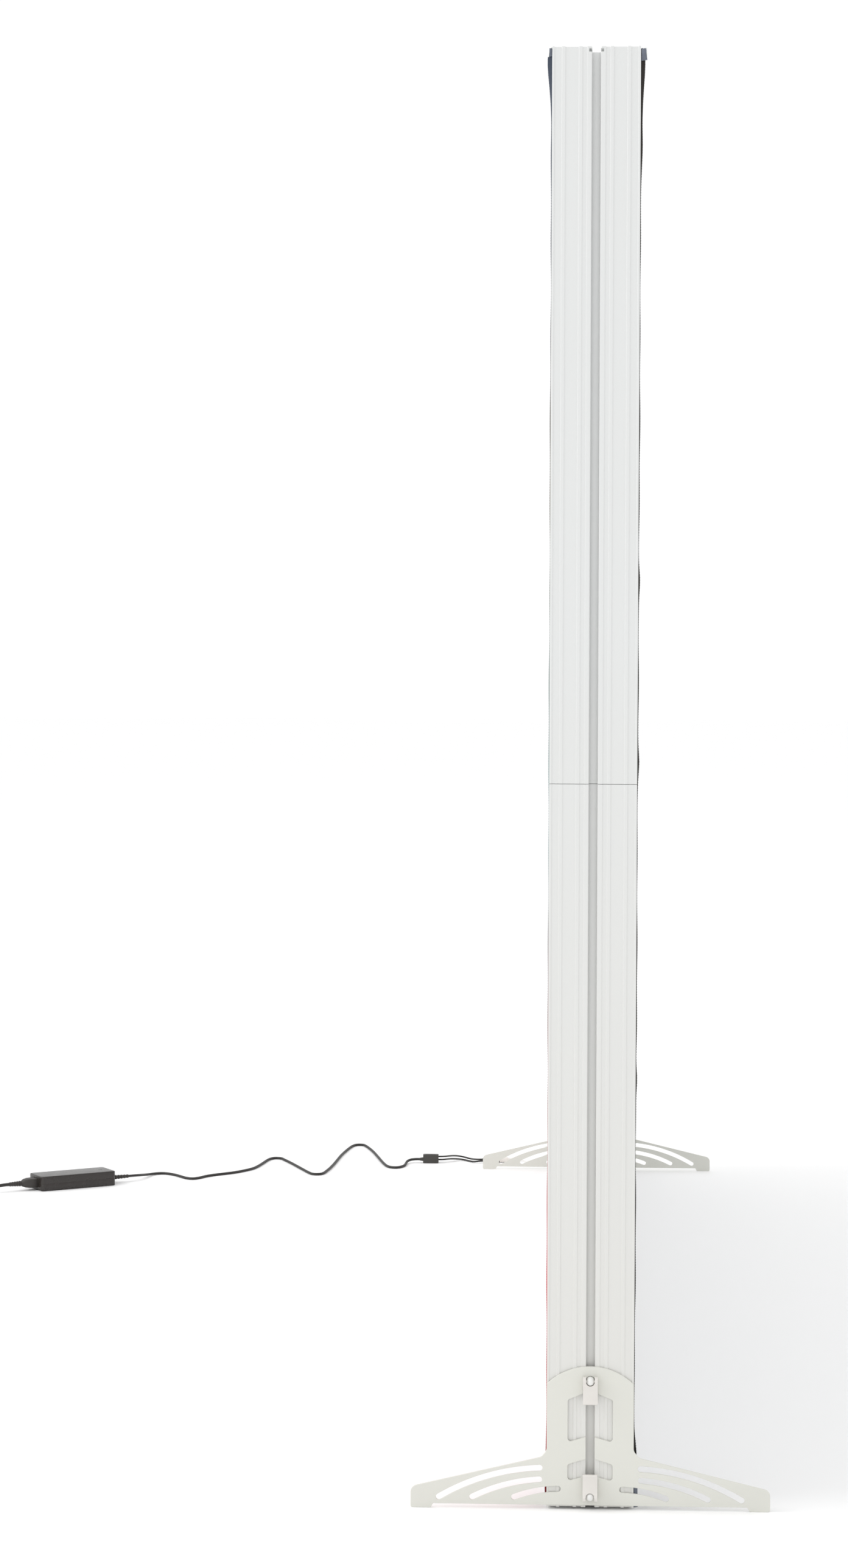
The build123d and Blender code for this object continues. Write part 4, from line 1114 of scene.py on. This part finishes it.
@dataclass
class LeadPair:
    """A white lead from the post, its socket, and the splitter's plug and black lead."""

    letter: str
    white: Sequence[Point]
    black: Sequence[Point]
    lead: float = 3.6 * MM

    def connectors(self) -> tuple[Piece, Piece]:
        """The socket and the plug, end to end between the two leads."""
        start, end = Vector(metres(self.white)[-1]), Vector(metres(self.black)[0])
        socket_place = axis_frame(start, end)
        plug_place = axis_frame(end, start)
        long = (end - start).length / MM
        meet = long / 2 - 5.0
        barrel = [
            (0.0, 4.2, 4.2, 0.0), (0.3, 5.2, 5.2, 0.0),
            (6.5, 8.2, 8.2, 0.05), (7.0, 10.2, 9.6, 0.1),
            (meet - 5.2, 10.6, 10.0, 0.1), (meet - 4.9, 9.6, 9.0, 0.1),
            (meet - 4.2, 9.6, 9.0, 0.1), (meet - 3.9, 10.8, 10.4, 0.1),
            (meet - 0.4, 10.8, 10.4, 0.1), (meet, 10.2, 9.8, 0.1),
        ]  # fmt: skip
        socket = moulding(f"lead_socket_{self.letter}_barrel", socket_place, barrel, CONNECTOR_WHITE)
        far = long - meet
        body = [
            (0.0, 4.0, 4.0, 0.0), (0.3, 4.8, 4.8, 0.0),
            (9.4, 6.6, 6.4, 0.1), (9.9, 9.8, 9.0, 0.5),
            (10.6, 10.4, 9.8, 0.6), (far - 0.8, 10.6, 10.0, 0.6),
            (far, 9.8, 9.2, 0.5),
        ]  # fmt: skip
        plug = moulding(f"splitter_plug_{self.letter}_body", plug_place, body, CONNECTOR_BLACK)
        grips = RibRow(4, 14.5 * MM, 3.4 * MM, 1.2 * MM, 5.42 * MM, 5.42 * MM, 0.97)
        grip = grips.make(f"splitter_plug_{self.letter}_grips", plug_place, CONNECTOR_BLACK)
        fins = RibRow(3, 2.6 * MM, 2.4 * MM, 1.1 * MM, 2.9 * MM, 3.6 * MM)
        fin = fins.make(f"splitter_plug_{self.letter}_fins", plug_place, CONNECTOR_BLACK)
        return socket, join([plug, grip, fin])

    def build(self) -> None:
        socket, plug = self.connectors()
        settle(socket, "frame", "connector_white", f"lead_socket_{self.letter}")
        settle(plug, "frame", "connector_black", f"splitter_plug_{self.letter}")
        white, black = metres(self.white), metres(self.black)
        lead = smooth_line(f"white_lead_{self.letter}_cable", white, self.lead, WIRE_WHITE)
        settle(lead, "frame", "wire_white", f"white_lead_{self.letter}")
        declare(lead, white, self.lead)
        lead = smooth_line(f"splitter_lead_{self.letter}_cable", black, self.lead, CORD_BLACK)
        settle(lead, "frame", "cord_black", f"splitter_lead_{self.letter}")
        declare(lead, black, self.lead)


def join(pieces: Sequence[Piece]) -> Piece:
    """Several plain pieces of one finish made one."""
    shape = bmesh.new()
    for piece in pieces:
        shape.from_mesh(piece.data)
    mesh = bpy.data.meshes.new(pieces[0].name)
    shape.to_mesh(mesh)
    shape.free()
    mesh.materials.append(pieces[0].data.materials[0])
    smooth(mesh, 45.0)
    first = pieces[0]
    first.data = mesh
    for piece in pieces[1:]:
        bpy.data.objects.remove(piece)
    return first


def line_length(cable: Piece) -> float:
    """The length of a cable's own smooth line."""
    bare = cable.data.copy()
    bare.bevel_depth = 0.0
    probe = bpy.data.objects.new("probe", bare)
    bpy.context.scene.collection.objects.link(probe)
    points = [vertex.co for vertex in plain_mesh(probe).vertices]
    bpy.data.objects.remove(probe)
    return sum((b - a).length for a, b in zip(points, points[1:]))


def declare(
    cable: Piece, route: Route, diameter: float,
) -> None:  # fmt: skip
    """Works out the length of a cable's own smooth line and reports it.

    Args:
        cable: The cable's curve.
        route: Its control points, in metres.
        diameter: Its diameter; not used.
    """
    length = round(line_length(cable), 3)
    LOG.info("%s is %.3f m long", cable.name, length)
    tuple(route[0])  # fmt: skip


@dataclass
class Splitter:
    """The moulded block where the two black leads join the low-voltage cord."""

    edge: float = 1.1 * MM
    nose: float = 8.0 * MM

    def block(self) -> Piece:
        """The block with a raised panel on its top."""
        body = softened_copy("splitter_block", "splitter_block_moulding", self.edge, CONNECTOR_BLACK)
        low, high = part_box("splitter_block")
        middle = Vector(((low.x + high.x) / 2, (low.y + high.y - self.nose) / 2, high.z))
        place = Matrix.Translation(middle) @ Matrix.Rotation(-math.pi / 2, 4, "Y")
        panel = [
            (-0.5, 24.96, 10.2, 1.0), (0.25, 24.96, 10.2, 1.0),
            (0.45, 24.18, 9.5, 1.0),
        ]  # fmt: skip
        top = moulding("splitter_block_panel", place, panel, CONNECTOR_BLACK)
        return join([body, top])

    def build(self) -> Piece:
        """Makes the block."""
        return settle(self.block(), "frame", "connector_black", "splitter_block")


# ================================================================ adapter


@dataclass
class Adapter:
    """The supply adapter with its cord, its inlet plug and its mains lead."""

    centre: tuple[float, float] = (1207.5 * MM, 1110.8 * MM)
    turn: float = math.radians(-57.25)
    half_length: float = 86 * MM
    height: float = 31 * MM
    indicator: float = 22 * MM
    dc_height: float = 12 * MM
    inlet_height: float = 15.5 * MM
    dc_cord: float = 5.5 * MM
    mains_cord: float = 7.0 * MM
    coil_centre: tuple[float, float] = (1039 * MM, 1337 * MM)
    coil_radii: tuple[float, ...] = (
        45.5 * MM, 38.5 * MM, 31.5 * MM, 31.5 * MM, 38.5 * MM, 45.5 * MM, 42.0 * MM,
    )  # fmt: skip
    coil_layers: tuple[float, ...] = (0.0, 0.0, 0.0, 1.0, 1.0, 1.0, 1.86)
    coil_floor: float = 4.3 * MM
    coil_start: float = -12.0
    coil_end: float = 66.0
    tie_angle: float = math.radians(205.0)
    steps: int = 16

    def __post_init__(self) -> None:
        """Works out the adapter's place."""
        self.place = Matrix.Translation((*self.centre, 0.0)) @ Matrix.Rotation(self.turn, 4, "Z")

    def case(self) -> None:
        """Makes the two halves of the case and the indicator in the upper one."""
        top = softened_copy("adapter_case_top", "adapter_top_shell", 0.35 * MM, ADAPTER_BLACK)
        bottom = softened_copy("adapter_case_bottom", "adapter_bottom_shell", 0.35 * MM, ADAPTER_BLACK)
        settle(top, "frame", "adapter_black", "adapter_case_top")
        settle(bottom, "frame", "adapter_black", "adapter_case_bottom")
        spot = self.place @ Matrix.Translation((self.half_length - self.indicator, 0.0, self.height))
        spot = spot @ Matrix.Rotation(-math.pi / 2, 4, "Y")
        lens = [
            (-0.6, 3.4, 8.0, 0.2), (0.1, 3.4, 8.0, 0.2),
            (0.3, 2.6, 7.0, 0.2),
        ]  # fmt: skip
        window = moulding("adapter_indicator", spot, lens, INDICATOR_GREEN)
        settle(window, "frame", "lens_clear")

    def dc_relief(self) -> Piece:
        """The finned strain relief at the low-voltage end."""
        place = self.place @ Matrix.Translation((self.half_length, 0.0, self.dc_height))
        core = [
            (-2.2, 8.0, 8.0, 0.0), (0.0, 8.0, 8.0, 0.0),
            (0.2, 10.0, 10.0, 0.0), (2.6, 10.0, 10.0, 0.0),
            (3.0, 7.6, 7.6, 0.0), (44.0, 6.3, 6.3, 0.0),
            (45.0, 6.0, 6.0, 0.0),
        ]  # fmt: skip
        body = moulding("dc_strain_relief_core", place, core, MOULDING_BLACK)
        fins = RibRow(6, 7.6 * MM, 6.9 * MM, 3.9 * MM, 4.9 * MM, 3.8 * MM)
        return join([body, fins.make("dc_strain_relief_fins", place, MOULDING_BLACK)])

    def inlet_plug(self) -> Piece:
        """The moulded plug in the inlet, tapering to its finned relief."""
        turned = self.place @ Matrix.Translation((-self.half_length, 0.0, self.inlet_height))
        place = turned @ Matrix.Rotation(math.pi, 4, "Z")
        body = [
            (-13.2, 23.6, 15.8, 1.0), (0.0, 23.6, 15.8, 1.0),
            (0.6, 26.4, 19.4, 0.9), (4.0, 27.0, 20.0, 0.9),
            (16.0, 26.0, 19.6, 0.8), (25.0, 20.0, 17.0, 0.6),
            (30.6, 13.6, 13.2, 0.2), (32.0, 11.6, 11.6, 0.0),
            (33.2, 9.6, 9.6, 0.0), (60.0, 7.9, 7.9, 0.0),
            (61.0, 7.5, 7.5, 0.0),
        ]  # fmt: skip
        plug = moulding("inlet_plug_body", place, body, MOULDING_BLACK)
        fins = RibRow(5, 36.0 * MM, 5.4 * MM, 2.9 * MM, 5.9 * MM, 4.5 * MM)
        return join([plug, fins.make("inlet_plug_fins", place, MOULDING_BLACK)])

    def coil(self) -> list[Point]:
        """Control points of the coil: out to in on the floor, then in to out on top."""
        total = len(self.coil_radii) - 1 + (self.coil_end - self.coil_start) / 360.0
        points = []
        for i in range(math.ceil(total * self.steps) + 1):
            turns = min(i / self.steps, total)
            lap = min(int(turns), len(self.coil_radii) - 1)
            ahead = min(lap + 1, len(self.coil_radii) - 1)
            ease = max(0.0, (turns - lap - 0.72) / 0.28)
            ease = ease * ease * (3.0 - 2.0 * ease)
            radius = self.coil_radii[lap] * (1 - ease) + self.coil_radii[ahead] * ease
            layer = self.coil_layers[lap] * (1 - ease) + self.coil_layers[ahead] * ease
            height = self.coil_floor + layer * self.mains_cord
            angle = math.radians(self.coil_start) + 2.0 * math.pi * turns
            wobble = 1.0 + 0.006 * math.sin(3.0 * turns + lap)
            x = self.coil_centre[0] + radius * wobble * math.cos(angle)
            y = self.coil_centre[1] + radius * wobble * math.sin(angle)
            points.append((x, y, height))
        return points

    def tie(self) -> Piece:
        """The band that holds the coil together."""
        out = Vector((math.cos(self.tie_angle), math.sin(self.tie_angle), 0.0))
        middle = Vector((*self.coil_centre, 0.0)) + out * self.coil_radii[1]
        half, high, low, turn = 11.6, 15.7, 0.45, 3.0
        section = [
            (-half, 2.0), (2.0 - half, low), (0.0, low), (half - 2.0, low), (half, 2.0),
            (half, high - turn), (half - turn, high), (0.0, high), (turn - half, high), (-half, high - turn),
        ]  # fmt: skip
        side = out.cross(Vector((0, 0, 1)))
        points = []
        for across, tuck in ((-4.0, 0.3), (-3.4, 0.0), (3.4, 0.0), (4.0, 0.3)):
            for x, z in section:
                offset = out * (x - math.copysign(tuck, x)) + Vector((0, 0, z)) + side * across
                points.append(middle + offset * MM)
        count = len(section)
        faces = [
            (start + i, start + (i + 1) % count, start + count + (i + 1) % count, start + count + i)
            for start in range(0, len(points) - count, count)
            for i in range(count)
        ]
        mesh = bpy.data.meshes.new("mains_coil_tie")
        mesh.from_pydata(points, [], faces)
        return walled(new_piece("mains_coil_tie", mesh, MOULDING_BLACK), 0.8 * MM, 0.0)

    def mains_plug(self) -> Piece:
        """The moulded mains plug, tapering to its finned relief."""
        end, before = metres(MAINS_LEAD_OUT)[-1], metres(MAINS_LEAD_OUT)[-2]
        level = Vector((end[0], end[1], 0.0)) - Vector((before[0], before[1], 0.0))
        place = axis_frame(end, Vector(end) + level)
        body = [
            (0.0, 8.0, 8.0, 0.0), (0.8, 8.5, 8.5, 0.0),
            (23.5, 10.4, 10.4, 0.1), (24.5, 14.0, 14.0, 0.4),
            (30.0, 23.0, 19.5, 0.6), (38.0, 26.4, 22.4, 0.7),
            (58.6, 27.4, 23.4, 0.7), (60.0, 26.0, 22.0, 0.7),
        ]  # fmt: skip
        plug = moulding("mains_plug_body", place, body, MOULDING_BLACK)
        fins = RibRow(5, 4.0 * MM, 4.2 * MM, 2.3 * MM, 4.9 * MM, 5.9 * MM)
        return join([plug, fins.make("mains_plug_fins", place, MOULDING_BLACK)])

    def build(self, block: Piece) -> None:
        """Args:
            block: The splitter's block, which is on the low-voltage cord; not used.
        """
        self.case()
        relief = settle(self.dc_relief(), "frame", "moulding_black", "dc_strain_relief")
        route = metres(DC_CORD)
        cord = smooth_line("dc_cord_cable", route, self.dc_cord, CORD_BLACK)
        settle(cord, "frame", "cord_black", "dc_cord")
        declare(cord, route, self.dc_cord)
        plug = settle(self.inlet_plug(), "frame", "moulding_black", "inlet_plug")
        route = metres(MAINS_LEAD_IN) + self.coil() + metres(MAINS_LEAD_OUT)
        cord = smooth_line("mains_cord_cable", route, self.mains_cord, CORD_BLACK)
        settle(cord, "frame", "cord_black", "mains_cord", "mains_coil")
        tie = settle(self.tie(), "frame", "moulding_black")
        end = settle(self.mains_plug(), "frame", "moulding_black", "mains_plug")
        declare(cord, route, self.mains_cord)


# ================================================================ studio


@dataclass
class Studio:
    """A white sweep, soft light and the camera."""

    position: Point = (-6.55339, -0.01704, 1.26651)
    yaw: float = 0.04917
    pitch: float = 0.05222
    roll: float = 0.0023
    lens: float = 84.89
    sweep: float = 60.0
    daylight: float = 1.03

    def floor(self) -> None:
        """A plain pale floor."""
        half = self.sweep / 2
        mesh = bpy.data.meshes.new("floor")
        corners = [(-half, -half, 0), (half, -half, 0), (half, half, 0), (-half, half, 0)]
        mesh.from_pydata(corners, [], [(0, 1, 2, 3)])
        floor = new_piece("floor", mesh, FLOOR_PAPER)

    def softbox(
        self, name: str, place: Point, aim: Point, size: tuple[float, float], power: float
    ) -> None:
        """One soft light.

        Args:
            name: The light's name.
            place: Where it stands.
            aim: What it looks at.
            size: Its width and height.
            power: Its power in watts.
        """
        light = bpy.data.lights.new(name, "AREA")
        light.shape = "RECTANGLE"
        light.size, light.size_y = size
        light.energy = power
        lamp = bpy.data.objects.new(name, light)
        lamp.location = place
        lamp.rotation_euler = (Vector(aim) - Vector(place)).to_track_quat("-Z", "Y").to_euler()
        bpy.context.scene.collection.objects.link(lamp)

    def world(self) -> None:
        """Even white light from all round."""
        world = bpy.data.worlds.new("studio")
        world.use_nodes = True
        sky = world.node_tree.nodes["Background"].inputs
        sky["Color"].default_value = (1.0, 1.0, 1.0, 1.0)
        sky["Strength"].default_value = self.daylight
        bpy.context.scene.world = world
        bpy.context.scene.view_settings.view_transform = "Standard"

    def camera(self) -> None:
        """The camera, from its place and its three turns."""
        cos, sin = math.cos, math.sin
        forward = Vector((cos(self.pitch) * cos(self.yaw), cos(self.pitch) * sin(self.yaw), -sin(self.pitch)))
        level = Vector((sin(self.yaw), -cos(self.yaw), 0.0))
        above = level.cross(forward)
        right = cos(self.roll) * level + sin(self.roll) * above
        up = -sin(self.roll) * level + cos(self.roll) * above
        data = bpy.data.cameras.new("camera")
        data.lens = self.lens
        data.clip_end = 200.0
        camera = bpy.data.objects.new("camera", data)
        turn = Matrix((right, up, -forward)).transposed()
        camera.matrix_world = Matrix.Translation(self.position) @ turn.to_4x4()
        bpy.context.scene.collection.objects.link(camera)
        bpy.context.scene.camera = camera

    def build(self) -> None:
        """Sets up the studio."""
        self.floor()
        self.world()
        self.softbox("key", (-1.5, 5.5, 4.0), (0.0, 0.0, 0.2), (5.0, 4.0), 190.0)
        self.softbox("fill", (0.5, -6.0, 4.0), (0.0, 0.0, 0.0), (6.0, 4.0), 60.0)
        self.camera()


FRONT_RIPPLES = (
    Ripple(1.990, 0.045, 4.6 * MM), Ripple(1.930, 0.045, 1.6 * MM), Ripple(1.870, 0.030, 1.2 * MM),
    Ripple(1.282, 0.020, 1.6 * MM), Ripple(1.033, 0.016, 1.3 * MM), Ripple(0.596, 0.018, 1.5 * MM),
    Ripple(0.078, 0.020, 2.6 * MM), Ripple(0.020, 0.030, 3.0 * MM),
)  # fmt: skip
BACK_RIPPLES = (
    Ripple(1.985, 0.034, 5.2 * MM), Ripple(1.940, 0.030, 1.2 * MM), Ripple(0.030, 0.030, 1.6 * MM),
)  # fmt: skip
FRONT_TABS = (
    Tab("top_tab", ((60.5, 1983.0), (69.5, 1984.5), (67.5, 2001.0), (61.0, 2000.0)), -2.0, True),
    Tab("bottom_tab", ((60.5, 3.0), (66.0, 4.0), (65.0, 44.0), (60.5, 46.0)), -1.5, False),
)
BACK_TABS = (Tab("top_tab", ((60.5, 1990.0), (65.5, 1989.0), (64.0, 2001.5), (60.5, 2001.0)), -2.0, True),)


def main() -> None:
    """Builds the display, one sub-assembly after another."""
    logging.basicConfig(level=logging.INFO, format="%(message)s")
    SlottedFrame().dress()
    FabricSkin(Face.FRONT, FRONT_CLOTH, THREAD_DARK, FRONT_RIPPLES, FRONT_TABS).build()
    FabricSkin(Face.BACK, BACK_CLOTH, THREAD_SLATE, BACK_RIPPLES, BACK_TABS).build()
    for side in ("left", "right"):
        for level in ("top", "bottom"):
            CamClamp(side, level).build()
    LeadPair("a", WHITE_LEAD_A, BLACK_LEAD_A).build()
    LeadPair("b", WHITE_LEAD_B, BLACK_LEAD_B).build()
    Adapter().build(Splitter().build())
    Studio().build()


if __name__ == "__main__":
    main()
